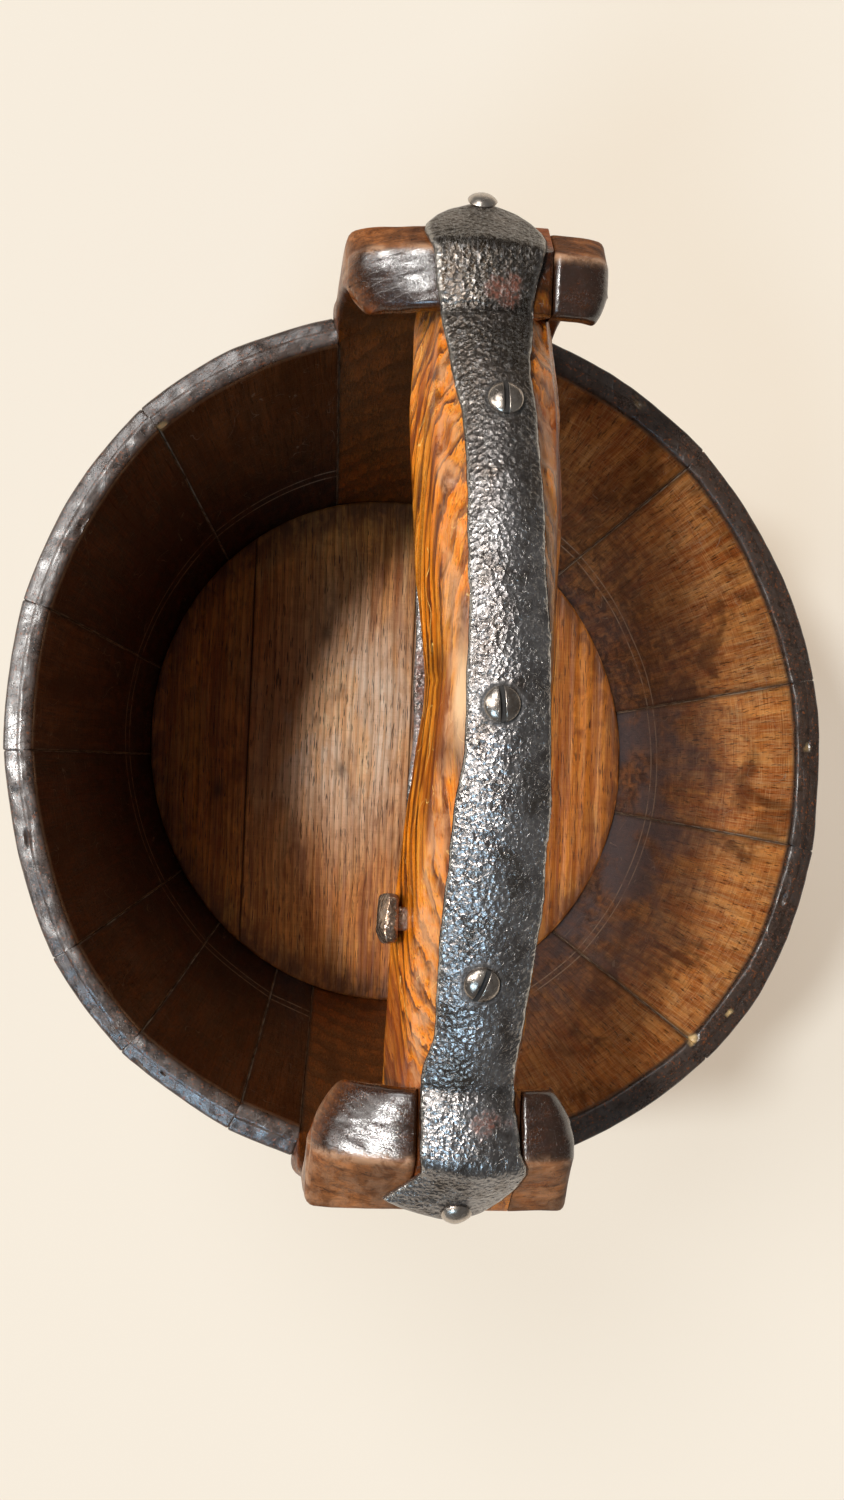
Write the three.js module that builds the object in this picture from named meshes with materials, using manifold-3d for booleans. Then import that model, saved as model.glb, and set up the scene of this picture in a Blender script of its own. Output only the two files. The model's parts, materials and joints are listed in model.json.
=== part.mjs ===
// Staved wooden well bucket with a fixed, arched handle bar between two tall ears.
// Millimetres, +Z up, +Y from the near ear to the far ear. The pieces are drawn round the axis of the
// tub; at the end the origin moves to the middle of the part's plan, on the ground.
import * as THREE from 'three';
import { mergeVertices } from 'three/addons/utils/BufferGeometryUtils.js';
import Module from 'manifold-3d';

const wasm = await Module();
wasm.setup();

// Tub
const rimRadius = 168.7;
const footRadius = 140.2;
const rimHeight = 250;
const wall = 11.8;
const ovalShare = 0.032;
const ovalAxis = 105;
const footShift = [4.3, 2.7];
const edgeRound = 3.2;
const ringSegments = 54;
const staveJoints = [
  -74.6, -45.4, -12.9, 11.7, 48.5, 74.9, 104.3, 132.6, 162.7, 183.4, 212.5, 227.9, 245.4, 254.6,
];
const farEarStave = 5;
const nearEarStave = 13;

// Bottom boards, seated in a groove cut round the inside of the staves
const bottomTop = 30;
const bottomThickness = 18;
const grooveHeight = 10;
const grooveDepth = 4;
const boardJoints = [-72, 15, 78];
const boardPinRadius = 3;
const boardPinLength = 26;
const boardPinSpread = 55;

// Hoops
const hoopWidth = 24;
const hoopThickness = 2.6;
const footHoopHeight = 16;
const upperHoopHeight = 186;
const lapSpan = 12;
const hoopLaps = { foot: 232, upper: 308 };

// Ears: the two tall staves. A head's foot stands in from the rim's outer face, and its outer face
// leans in as it rises.
const earRise = 125;
const earHalfWidth = 42.9;
const earCornerRound = 11;
const headFootSet = 2;
const farHeadSizes = {
  leanIn: 2.4, thickness: 29, bevelRun: 10.5, bevelDrop: 11, cornerCut: 4, tenonProud: 9.5,
};
const nearHeadSizes = {
  leanIn: 11.9, thickness: 42.3, bevelRun: 20.5, bevelDrop: 20, cornerCut: 9, tenonProud: 0.5,
};
const headLip = 5.5;
const coveHeight = 35;
const shoulderRise = 38;

// Handle bar: its top line is a parabola between the inner faces of the ears
const handleX = 6;
const handleHalfWidth = 23.6;
const handleDepth = 44;
const handleRise = 27;
const handleTopHalf = 13;
const handleArrisSet = 5;
const handleArrisDrop = 8.5;
const handleBottomHalf = 17;
const waistLeft = 6.3;
const waistRight = 2.2;
const waistReach = 34;
const tenonX = 7;
const tenonHalfWidth = 16.1;
const tenonDepth = 46;
const archSteps = 22;

// Ironwork on the handle
const strapX = 7.5;
const strapThickness = 3.2;
const strapLeft = [
  [99, 13.5], [69, 11.7], [39, 10.5], [14, 10.5], [-9, 10.7], [-36, 13.5], [-66, 14.4], [-92, 14.2],
];
const strapRight = [
  [99, 9.3], [69, 11.8], [39, 13.5], [14, 15], [-20, 16.5], [-50, 16.5], [-80, 14.8], [-100, 12.5],
];
const strapLip = 8;
const strapFan = { farLeft: 26, farRight: 13.3, nearLeft: 26.1, nearRight: 18.5 };
const underStrapX = 6.2;
const underStrapHalf = 21.4;
const underStrapThickness = 3;
const underStrapSetback = -10;
const screwSpots = [[101.5, 2], [8, 6], [-75.5, -20]];
const screwHeadRadius = 5.6;
const screwHeadRise = 2.8;
const screwSlotWidth = 1.3;
const screwSlotDepth = 1.2;
const screwShankRadius = 2.2;
const screwLength = 26;
const strapNails = { far: { x: 1.3, up: 1.5 }, near: { x: 5.5, up: 6 } };
const nailHeadRadius = 4.8;
const nailHeadRise = 2.6;
const nailShankRadius = 1.9;
const nailLength = 30;
const tackSpots = [112, 52, -30, -94];
const tackLength = 14;
const spikeY = -59.5;
const spikeBelowTop = 24;
const spikeHead = 15.4;
const spikeHeadOut = 6.4;
const spikeShank = 8;
const spikeLength = 34;
const rivetRadius = 2.5;
const rivetHeadRadius = 4.6;
const rivetSpread = 6;

// Fits
const gap = 0.3;
const jointGap = 0.3;

const everywhere = [-2 * rimRadius, 2 * rimRadius];
const earTop = rimHeight + earRise;
const headFoot = rimRadius - headFootSet;

// A head with its two faces as distances from the axis. tenon is the same head run on to the end of the
// handle's tenon, which stands proud of it and carries the bevel on at the same slope.
function placedHead(sizes) {
  const outer = headFoot - sizes.leanIn;
  const head = { ...sizes, outer, inner: outer - sizes.thickness };
  const steep = sizes.bevelDrop / sizes.bevelRun;
  const bevelRun = sizes.bevelRun + sizes.tenonProud;
  const tenon = { ...head, outer: outer + sizes.tenonProud, bevelRun, bevelDrop: bevelRun * steep };
  return { ...head, tenon };
}

const farHead = placedHead(farHeadSizes);
const nearHead = placedHead(nearHeadSizes);
const span = {
  middle: (farHead.inner - nearHead.inner) / 2,
  half: (farHead.inner + nearHead.inner) / 2,
};
const handleCrown = earTop - 1 + handleRise;

const darkWood = { color: 0x47290f, roughness: 0.45, metalness: 0 };
const earWood = { color: 0x55300f, roughness: 0.42, metalness: 0 };
const boardWood = { color: 0x80491c, roughness: 0.6, metalness: 0 };
const handleWood = { color: 0xa05c1a, roughness: 0.5, metalness: 0 };
const pinWood = { color: 0xb08a50, roughness: 0.7, metalness: 0 };
const forgedIron = { color: 0x3c3a37, roughness: 0.42, metalness: 0.85 };
const paleIron = { color: 0x6a6660, roughness: 0.35, metalness: 0.9 };

const radians = THREE.MathUtils.degToRad;
const up = new THREE.Vector3(0, 0, 1);
const group = new THREE.Group();

// A geometry as a solid: equal corners merged, triangles without area dropped.
function solid(geometry) {
  const bare = geometry.clone();
  bare.deleteAttribute('normal');
  bare.deleteAttribute('uv');
  const merged = mergeVertices(bare, 1e-3);
  const corners = merged.index.array;
  const kept = [];
  for (let i = 0; i < corners.length; i += 3) {
    const [a, b, c] = [corners[i], corners[i + 1], corners[i + 2]];
    if (a !== b && b !== c && c !== a) {
      kept.push(a, b, c);
    }
  }
  const vertProperties = new Float32Array(merged.attributes.position.array);
  const mesh = new wasm.Mesh({ numProp: 3, vertProperties, triVerts: new Uint32Array(kept) });
  return new wasm.Manifold(mesh);
}

function add(name, body, finish) {
  const { vertProperties, triVerts, numProp } = body.getMesh();
  const geometry = new THREE.BufferGeometry();
  const points = new THREE.InterleavedBuffer(vertProperties, numProp);
  geometry.setAttribute('position', new THREE.InterleavedBufferAttribute(points, 3, 0));
  geometry.setIndex(new THREE.BufferAttribute(triVerts, 1));
  const flat = geometry.toNonIndexed();
  flat.computeVertexNormals();
  const mesh = new THREE.Mesh(flat, new THREE.MeshStandardMaterial(finish));
  mesh.name = name;
  group.add(mesh);
  return mesh;
}

// A closed outline of (radius, height) pairs turned about the Z axis.
function turned(pairs, segments = ringSegments) {
  const outline = pairs.map(([r, z]) => new THREE.Vector2(r, z));
  return new THREE.LatheGeometry(outline, segments).rotateX(Math.PI / 2);
}

function prism(shape, depth, curveSegments = 8) {
  return new THREE.ExtrudeGeometry(shape, { depth, bevelEnabled: false, curveSegments, steps: 1 });
}

// A shape drawn as (y, z), extruded along X between two stations.
function sidePrism(shape, from, to) {
  const axes = new THREE.Matrix4().makeBasis(
    new THREE.Vector3(0, 1, 0), new THREE.Vector3(0, 0, 1), new THREE.Vector3(1, 0, 0));
  return prism(shape, to - from).applyMatrix4(axes).translate(from, 0, 0);
}

// A shape drawn as (x, z), extruded along Y between two stations.
function frontPrism(shape, from, to) {
  const axes = new THREE.Matrix4().makeBasis(
    new THREE.Vector3(1, 0, 0), new THREE.Vector3(0, 0, 1), new THREE.Vector3(0, -1, 0));
  return prism(shape, to - from).applyMatrix4(axes).translate(0, to, 0);
}

function box(xRange, yRange, zRange) {
  const size = [xRange, yRange, zRange].map(([low, high]) => high - low);
  const middle = [xRange, yRange, zRange].map(([low, high]) => (low + high) / 2);
  return solid(new THREE.BoxGeometry(...size).translate(...middle));
}

// The tub is slightly oval and askew: a round body is stretched along one axis, narrowed across it, and
// leaned so that its foot lies a little beside its rim.
const ovalTurn = new THREE.Matrix4().makeRotationZ(radians(ovalAxis));
const [footX, footY] = footShift;
const leanMap = new THREE.Matrix4().set(
  1, 0, -footX / rimHeight, footX,
  0, 1, -footY / rimHeight, footY,
  0, 0, 1, 0,
  0, 0, 0, 1,
);
const tubMap = leanMap.clone()
  .multiply(ovalTurn)
  .multiply(new THREE.Matrix4().makeScale(1 + ovalShare, 1 - ovalShare, 1))
  .multiply(ovalTurn.clone().invert());

const outerRadiusAt = (z) => footRadius + ((rimRadius - footRadius) * z) / rimHeight;
const innerRadiusAt = (z) => outerRadiusAt(z) - wall;
const grooveBottom = bottomTop - bottomThickness / 2 - grooveHeight / 2;
const grooveTop = grooveBottom + grooveHeight;

// The wall's section below the rim, from the groove down, round the foot and up the outside.
function wallSection(rimPairs) {
  const grooveRadius = innerRadiusAt(bottomTop) + grooveDepth;
  const lower = [
    [innerRadiusAt(grooveTop), grooveTop],
    [grooveRadius, grooveTop],
    [grooveRadius, grooveBottom],
    [innerRadiusAt(grooveBottom), grooveBottom],
    [innerRadiusAt(edgeRound), edgeRound],
    [innerRadiusAt(0) + edgeRound, 0],
    [outerRadiusAt(0) - edgeRound, 0],
    [outerRadiusAt(edgeRound), edgeRound],
  ];
  return [...lower, ...rimPairs, lower[0]];
}

function roundedRim() {
  const h = rimHeight;
  const r = edgeRound;
  return [
    [outerRadiusAt(h - r), h - r],
    [outerRadiusAt(h) - 0.3 * r, h - 0.3 * r],
    [outerRadiusAt(h) - r, h],
    [innerRadiusAt(h) + r, h],
    [innerRadiusAt(h) + 0.3 * r, h - 0.3 * r],
    [innerRadiusAt(h - r), h - r],
  ];
}

// The ears' curved part runs on above the rim and is pared back to the flat head.
function pareUp(head) {
  const top = rimHeight + shoulderRise;
  const leanIn = ((headFoot - head.outer) * shoulderRise) / (earRise - head.bevelDrop);
  const pared = (headFoot - leanIn) / (1 + ovalShare) - 1;
  const full = outerRadiusAt(rimHeight);
  return [
    [full, rimHeight],
    [full - 0.12 * (full - pared), rimHeight + 0.28 * shoulderRise],
    [full - 0.5 * (full - pared), rimHeight + 0.66 * shoulderRise],
    [pared, top],
    [pared - 0.3 * wall, top],
    [innerRadiusAt(rimHeight), rimHeight + 0.2 * shoulderRise],
  ];
}

// The wedge between two radial joint planes, half a joint gap inside each.
function wedge(fromAngle, toAngle) {
  const middle = radians((fromAngle + toAngle) / 2);
  const half = radians((toAngle - fromAngle) / 2);
  const inset = jointGap / 2 / Math.sin(half);
  const reach = 2 * rimRadius;
  const apex = new THREE.Vector2(inset * Math.cos(middle), inset * Math.sin(middle));
  const corner = (angle) => new THREE.Vector2(Math.cos(angle), Math.sin(angle))
    .multiplyScalar(reach).add(apex);
  const shape = new THREE.Shape([apex, corner(middle - half), corner(middle + half)]);
  return solid(prism(shape, 2 * earTop).translate(0, 0, -earRise).applyMatrix4(leanMap));
}

// The head's outer face, bevel and top, from its foot to the inner top edge, as (y, z).
function headContour(head) {
  const path = new THREE.Path();
  const bevelFoot = earTop - head.bevelDrop;
  const ease = 0.16;
  path.moveTo(headFoot, rimHeight + 2 * gap);
  path.lineTo(head.outer + 0.3, bevelFoot - 3);
  const { outer, bevelRun: run, bevelDrop: drop } = head;
  path.quadraticCurveTo(outer, bevelFoot, outer - ease * run, bevelFoot + ease * drop);
  path.lineTo(outer - (1 - ease) * run, earTop - ease * drop);
  path.quadraticCurveTo(outer - run, earTop, outer - (1 + ease) * run, earTop);
  path.lineTo(head.inner + 3, earTop);
  path.quadraticCurveTo(head.inner, earTop, head.inner, earTop - 3);
  return path.getPoints(3);
}

// Side view of a head: below a short lip its inner face is hollowed back to the wall in a cove.
function headShape(head) {
  const shape = new THREE.Shape(headContour(head));
  const wallInside = innerRadiusAt(rimHeight) * (1 + ovalShare);
  const run = wallInside - head.inner;
  shape.lineTo(head.inner, earTop - headLip);
  shape.bezierCurveTo(
    head.inner + 0.52 * run, earTop - coveHeight,
    wallInside - 1, rimHeight + 1.6 * shoulderRise,
    wallInside, rimHeight + 2 * gap,
  );
  return shape;
}

// Front view of a head: upright sides and round top corners.
function headFront() {
  const w = earHalfWidth;
  const shape = new THREE.Shape();
  shape.moveTo(-w + 1.5, rimHeight);
  shape.lineTo(w - 1.5, rimHeight);
  shape.lineTo(w, rimHeight + 0.5 * earRise);
  shape.lineTo(w, earTop - earCornerRound);
  shape.quadraticCurveTo(w, earTop, w - earCornerRound, earTop + 0.1);
  shape.lineTo(-w + earCornerRound, earTop + 0.1);
  shape.quadraticCurveTo(-w, earTop, -w, earTop - earCornerRound);
  shape.lineTo(-w, rimHeight + 0.5 * earRise);
  return shape;
}

// Plan of a head on the +Y side: its inner corners are cut back.
function headPlan(head) {
  const w = earHalfWidth;
  const cut = head.cornerCut;
  const ridge = head.outer - head.bevelRun;
  const shape = new THREE.Shape();
  shape.moveTo(-w + cut, head.inner - 1);
  shape.lineTo(w - cut, head.inner - 1);
  shape.lineTo(w, Math.min(ridge, head.inner + 2 * cut));
  shape.lineTo(w, 2 * rimRadius);
  shape.lineTo(-w, 2 * rimRadius);
  shape.lineTo(-w, Math.min(ridge, head.inner + 2 * cut));
  return shape;
}

// A head that stands on the +Y side, or turned half round to the -Y side.
function headBlank(head, turn, shift = 0) {
  const wide = 1.5 * earHalfWidth;
  const profile = solid(sidePrism(headShape(head), -wide, wide).translate(0, -shift, 0).rotateZ(turn));
  if (shift > 0) {
    return profile;
  }
  const front = solid(frontPrism(headFront(), -2 * rimRadius, 2 * rimRadius));
  return profile.intersect(front).intersect(solid(prism(headPlan(head), 2 * earTop).rotateZ(turn)));
}

const notchFloor = earTop - tenonDepth - gap;
const halfTurn = Math.PI;
const heads = [
  { head: farHead, turn: 0, side: 1, stave: farEarStave, name: 'ear_stave_far' },
  { head: nearHead, turn: halfTurn, side: -1, stave: nearEarStave, name: 'ear_stave_near' },
];

// Top line of the handle as a point and its outward direction at a station along Y.
function archSpot(x, y, lift) {
  const away = (y - span.middle) / span.half;
  const slope = (-2 * handleRise * away) / span.half;
  const out = new THREE.Vector3(0, -slope, 1).normalize();
  const at = new THREE.Vector3(x, y, handleCrown - handleRise * away * away).addScaledVector(out, lift);
  return { at, out };
}

// Fasteners are drawn with the head's seat at the origin and the shank down -Z.
function placement(spot) {
  const turn = new THREE.Quaternion().setFromUnitVectors(up, spot.out);
  return new THREE.Matrix4().compose(spot.at, turn, new THREE.Vector3(1, 1, 1));
}

function bore(spot, radius, length, lead = 8) {
  const drill = new THREE.CylinderGeometry(radius + gap, radius + gap, length + gap + lead, 16);
  drill.rotateX(Math.PI / 2).translate(0, 0, (lead - length - gap) / 2);
  return solid(drill.applyMatrix4(placement(spot)));
}

function addFastener(name, body, spot, finish, turn = 0) {
  const mesh = add(name, body, finish);
  mesh.position.copy(spot.at);
  mesh.quaternion.setFromUnitVectors(up, spot.out);
  mesh.rotateZ(radians(turn));
}

// A domed head over a round shank with a short point.
function domedNail(headRadius, headRise, shankRadius, length) {
  return solid(turned([
    [0, -length],
    [shankRadius * 0.4, -length],
    [shankRadius, -length * 0.85],
    [shankRadius, 0],
    [headRadius, 0],
    [headRadius * 0.94, headRise * 0.42],
    [headRadius * 0.62, headRise * 0.85],
    [0, headRise],
  ], 16));
}

const screwList = screwSpots.map(([y, turn], i) => (
  { name: `strap_screw_${i + 1}`, spot: archSpot(strapX - 0.5, y, strapThickness + 2 * gap), turn }));
const tackList = tackSpots.map((y, i) => {
  const { at, out } = archSpot(underStrapX, y, -handleDepth - underStrapThickness - 2 * gap);
  return { name: `under_strap_tack_${i + 1}`, spot: { at, out: out.negate() } };
});

// The slope that a strap end lies on: from the head's ridge down to the foot of the tenon's bevel.
function strapSlope({ tenon }) {
  const ridge = new THREE.Vector2(tenon.outer - tenon.bevelRun, earTop);
  const foot = new THREE.Vector2(tenon.outer, earTop - tenon.bevelDrop);
  const along = foot.clone().sub(ridge).normalize();
  return { ridge, foot, along, out: new THREE.Vector2(-along.y, along.x) };
}

// Strap nails go through the turned-down strap ends into the ends of the handle.
const nailList = heads.map(({ head, side }) => {
  const { foot, along, out } = strapSlope(head);
  const { x, up: rise } = side > 0 ? strapNails.far : strapNails.near;
  const at = foot.clone().addScaledVector(along, -rise).addScaledVector(out, strapThickness + 2 * gap);
  return {
    name: side > 0 ? 'strap_nail_far' : 'strap_nail_near',
    spot: {
      at: new THREE.Vector3(x, side * at.x, at.y),
      out: new THREE.Vector3(0, side * out.x, out.y),
    },
  };
});

// Offsets a line of (y, z) points to its left by a distance, with mitred corners.
function offsetLine(points, distance) {
  return points.map((point, i) => {
    const before = points[Math.max(i - 1, 0)];
    const after = points[Math.min(i + 1, points.length - 1)];
    const inward = i > 0 ? point.clone().sub(before).normalize() : after.clone().sub(point).normalize();
    const onward = i < points.length - 1 ? after.clone().sub(point).normalize() : inward;
    const left = new THREE.Vector2(-inward.y - onward.y, inward.x + onward.x).normalize();
    const stretch = 1 / Math.max(0.5, left.dot(new THREE.Vector2(-inward.y, inward.x)));
    return point.clone().addScaledVector(left, distance * stretch);
  });
}

function ribbon(points, clearance, thickness) {
  const near = offsetLine(points, clearance);
  const far = offsetLine(points, clearance + thickness);
  return new THREE.Shape([...near, ...far.reverse()]);
}

// The line the strap lies on: up the near head's bevel, over the handle, down the far one.
function strapLine() {
  const overHead = (head) => {
    const { ridge, foot, along } = strapSlope(head);
    const path = new THREE.Path();
    const end = foot.clone().addScaledVector(along, strapLip);
    path.moveTo(end.x, end.y);
    path.lineTo(ridge.x + gap * along.x, ridge.y + gap * along.y);
    path.lineTo(ridge.x - gap, ridge.y);
    path.lineTo(head.inner + 3, earTop);
    return path.getPoints(3);
  };
  const nearSide = overHead(nearHead).map((p) => new THREE.Vector2(-p.x, p.y));
  const farSide = overHead(farHead).reverse();
  const arch = [];
  for (let i = 0; i <= archSteps; i += 1) {
    const y = span.middle + (span.half - 2) * ((2 * i) / archSteps - 1);
    const { at } = archSpot(0, y, 0);
    arch.push(new THREE.Vector2(at.y, at.z));
  }
  return [...nearSide, ...arch, ...farSide];
}

// Plan of the strap: its two edges wander as forged, and both ends widen to round fans over the heads.
function strapPlan() {
  const far = farHead.tenon.outer;
  const near = -nearHead.tenon.outer;
  const { farLeft, farRight, nearLeft, nearRight } = strapFan;
  const outline = [
    [0.6 * farRight, far + 0.5], [farRight, far - 11],
    [0.75 * farRight, farHead.inner + 4], [0.62 * farRight, farHead.inner - 15],
    ...strapRight.map(([y, half]) => [half, y]),
    [nearRight - 5, -nearHead.inner - 6], [nearRight - 1.5, near + 22],
    [nearRight, near + 15], [0.66 * nearRight, near + 4],
    [0, near - 3.2], [-0.4 * nearLeft, near - 2.6], [-nearLeft, near + 3.4],
    [-0.58 * nearLeft, near + 13], [-0.61 * nearLeft, near + 21],
    [-0.63 * nearLeft, -nearHead.inner + 6],
    ...strapLeft.map(([y, half]) => [-half, y]).reverse(),
    [-0.66 * farLeft, farHead.inner - 20], [-0.82 * farLeft, farHead.inner + 4],
    [-0.92 * farLeft, far - 18],
    [-farLeft, far - 9.5], [-0.67 * farLeft, far - 0.5], [-0.25 * farLeft, far + 3.5],
  ];
  const points = outline.map(([x, y]) => new THREE.Vector2(strapX + x, y));
  const knots = points.map((p) => new THREE.Vector3(p.x, p.y, 0));
  const loop = new THREE.CatmullRomCurve3(knots, true, 'catmullrom', 0.5);
  return new THREE.Shape(loop.getPoints(110).slice(0, -1).map((p) => new THREE.Vector2(p.x, p.y)));
}

// Plan of the handle bar, with the hand-worn waist in the middle.
function handlePlan() {
  const w = handleHalfWidth;
  const stations = [
    [-170, w - 1], [-nearHead.inner, w - 1], [-60, w], [-waistReach + 11, w - 0.3], [11, w],
    [waistReach + 11, w - 0.3], [88, w + 1.4], [farHead.inner, w + 0.5], [180, w - 1.5],
  ];
  const edge = (side, dip) => stations.map(([y, half]) => (
    new THREE.Vector2(handleX + side * (half - (y === 11 ? dip : 0)), y)));
  const right = new THREE.SplineCurve(edge(1, waistRight)).getPoints(40);
  const left = new THREE.SplineCurve(edge(-1, waistLeft).reverse()).getPoints(40);
  return new THREE.Shape([...right, ...left]);
}

// Section of the handle bar below its top line: flat top, carved shoulders that fall to an arris on each
// side, sides that lean out below it and a round underside.
function handleSection() {
  const shape = new THREE.Shape();
  const w = handleHalfWidth;
  const arris = w - handleArrisSet;
  const foot = handleDepth - 11;
  shape.moveTo(-handleTopHalf, 0);
  shape.quadraticCurveTo(-arris + 2, -1, -arris, -handleArrisDrop);
  shape.lineTo(-w - 1, -foot);
  shape.quadraticCurveTo(-w, -handleDepth, -handleBottomHalf, -handleDepth);
  shape.lineTo(handleBottomHalf, -handleDepth);
  shape.quadraticCurveTo(w, -handleDepth, w + 1, -foot);
  shape.lineTo(arris, -handleArrisDrop);
  shape.quadraticCurveTo(arris - 2, -1, handleTopHalf, 0);
  return shape;
}

// Plan of a tenon on the +Y side, with its end rounded where it stands proud of the head.
function tenonPlan(head, x) {
  const w = tenonHalfWidth;
  const tip = head.tenon.outer + 1;
  const back = 0.6 * head.tenonProud;
  const shape = new THREE.Shape();
  shape.moveTo(x - w, head.inner - 20);
  shape.lineTo(x + w, head.inner - 20);
  shape.lineTo(x + w, tip - back);
  shape.quadraticCurveTo(x, tip + back, x - w, tip - back);
  return shape;
}

function handleBar() {
  const reach = 0.7 * headFoot - 0.7 * farHead.inner;
  const ends = [-nearHead.inner - reach, farHead.inner + reach];
  const points = ends.map((y) => archSpot(handleX, y, 0).at);
  const lean = archSpot(0, ends[0], 0).out;
  const slope = -lean.y / lean.z;
  const half = (ends[1] - ends[0]) / 2;
  const control = new THREE.Vector3(handleX, (ends[0] + ends[1]) / 2, points[0].z + slope * half);
  const line = new THREE.QuadraticBezierCurve3(points[0], control, points[1]);
  const bar = new THREE.ExtrudeGeometry(handleSection(), {
    steps: archSteps, extrudePath: line, curveSegments: 6,
  });
  const above = box(everywhere, everywhere, [notchFloor + gap, 2 * earTop]);
  let body = solid(bar).intersect(solid(prism(handlePlan(), 2 * earTop)));
  for (const { head, turn, side } of heads) {
    const tenonRange = [tenonX - tenonHalfWidth, tenonX + tenonHalfWidth];
    const inside = [head.inner - 5, head.outer - head.bevelRun - 5]
      .map((y) => side * y).sort((a, b) => a - b);
    const neck = box(tenonRange, inside, [notchFloor + gap, earTop - 1.2]);
    const plan = solid(prism(tenonPlan(head, side * tenonX), 2 * earTop).rotateZ(turn));
    const edges = tenonRange.map((x) => side * x).sort((a, b) => a - b);
    const tip = solid(sidePrism(headShape(head.tenon), ...edges).rotateZ(turn)).intersect(plan);
    body = body.subtract(headBlank(head, turn, gap)).add(neck).add(tip.intersect(above));
  }
  return body;
}

// Round ring that lies on the wall between two heights, a clearance outside it.
function hoopRing(low, clearance, thickness) {
  const high = low + hoopWidth;
  const inner = (z) => outerRadiusAt(z) + clearance;
  const pairs = [
    [inner(low), low],
    [inner(low) + thickness, low],
    [inner(high) + thickness, high],
    [inner(high), high],
    [inner(low), low],
  ];
  return solid(turned(pairs).applyMatrix4(tubMap));
}

// Point and outward direction on the oval wall, raised by a distance.
function wallSpot(angle, z, lift) {
  const a = radians(angle);
  const slope = (rimRadius - footRadius) / rimHeight;
  const at = new THREE.Vector3(Math.cos(a), Math.sin(a), 0).multiplyScalar(outerRadiusAt(z)).setZ(z);
  const out = new THREE.Vector3(Math.cos(a), Math.sin(a), -slope)
    .applyNormalMatrix(new THREE.Matrix3().getNormalMatrix(tubMap));
  return { at: at.applyMatrix4(tubMap).addScaledVector(out, lift), out };
}

function addHoop(name, low, lapAngle) {
  const lift = gap + 2 * hoopThickness + gap;
  const plainRing = hoopRing(low, gap, hoopThickness);
  const lapEnd = hoopRing(low, gap + hoopThickness / 2, 1.5 * hoopThickness)
    .intersect(wedge(lapAngle - lapSpan / 2, lapAngle + lapSpan / 2));
  let band = plainRing.add(lapEnd);
  const rivet = domedNail(rivetHeadRadius, 2, rivetRadius, 2 * hoopThickness);
  [-1, 1].forEach((side) => {
    const spot = wallSpot(lapAngle, low + hoopWidth / 2 + side * rivetSpread, lift);
    band = band.subtract(bore(spot, rivetRadius, 3 * hoopThickness));
    addFastener(`${name}_rivet_${side < 0 ? 'low' : 'high'}`, rivet, spot, paleIron);
  });
  add(name, band, forgedIron);
}

function addStaves() {
  const shell = solid(turned(wallSection(roundedRim())).applyMatrix4(tubMap));
  let count = 0;
  staveJoints.forEach((from, i) => {
    const to = i + 1 < staveJoints.length ? staveJoints[i + 1] : staveJoints[0] + 360;
    const ear = heads.find(({ stave }) => stave === i);
    if (!ear) {
      count += 1;
      add(`stave_${String(count).padStart(2, '0')}`, shell.intersect(wedge(from, to)), darkWood);
      return;
    }
    const notchHalf = tenonHalfWidth + gap;
    const notch = box([tenonX - notchHalf, tenonX + notchHalf], everywhere, [notchFloor, 2 * earTop]);
    const earShell = solid(turned(wallSection(pareUp(ear.head))).applyMatrix4(tubMap));
    const blank = earShell.intersect(wedge(from, to)).add(headBlank(ear.head, ear.turn)).subtract(notch);
    add(ear.name, blank, earWood);
  });
}

function addBottom() {
  const lip = innerRadiusAt(bottomTop) - gap;
  const tongue = innerRadiusAt(bottomTop) + grooveDepth - gap;
  const low = bottomTop - bottomThickness;
  const inside = innerRadiusAt(low) - 2;
  const disc = solid(turned([
    [0, low],
    [inside - 4, low],
    [innerRadiusAt(grooveBottom) - gap, grooveBottom + gap],
    [tongue, grooveBottom + gap],
    [tongue, grooveTop - gap],
    [innerRadiusAt(grooveTop) - gap, grooveTop - gap],
    [lip, bottomTop - 1],
    [lip - 1, bottomTop],
    [0, bottomTop],
  ]).applyMatrix4(tubMap));
  const edges = [everywhere[0], ...boardJoints, everywhere[1]];
  const pinHeight = bottomTop - bottomThickness / 2;
  const pins = boardJoints.flatMap((x, i) => [-1, 1].map((side) => ({
    name: `bottom_pin_${i + 1}_${side < 0 ? 'near' : 'far'}`,
    spot: {
      at: new THREE.Vector3(x - boardPinLength / 2, side * boardPinSpread, pinHeight),
      out: new THREE.Vector3(-1, 0, 0),
    },
  })));
  const pin = solid(new THREE.CylinderGeometry(boardPinRadius, boardPinRadius, boardPinLength, 14)
    .rotateX(Math.PI / 2).translate(0, 0, -boardPinLength / 2));
  edges.slice(1).forEach((right, i) => {
    const left = edges[i];
    const width = [left + jointGap / 2, right - jointGap / 2];
    let board = disc.intersect(box(width, everywhere, [0, 2 * bottomTop]));
    for (const { spot } of pins) {
      board = board.subtract(bore(spot, boardPinRadius, boardPinLength, gap));
    }
    add(`bottom_board_${i + 1}`, board, boardWood);
  });
  pins.forEach(({ name, spot }) => addFastener(name, pin, spot, pinWood));
}

function addHandle() {
  let bar = handleBar();
  const spike = spikeSpot();
  for (const { spot } of screwList) {
    bar = bar.subtract(bore(spot, screwShankRadius, screwLength));
  }
  for (const { spot } of nailList) {
    bar = bar.subtract(bore(spot, nailShankRadius, nailLength));
  }
  for (const { spot } of tackList) {
    bar = bar.subtract(bore(spot, nailShankRadius, tackLength));
  }
  const side = spikeShank / 2 + gap;
  const hole = box(
    [spike.at.x - 20, spike.at.x + spikeLength + gap],
    [spike.at.y - side, spike.at.y + side],
    [spike.at.z - side, spike.at.z + side],
  );
  add('handle_bar', bar.subtract(hole), handleWood);
}

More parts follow.
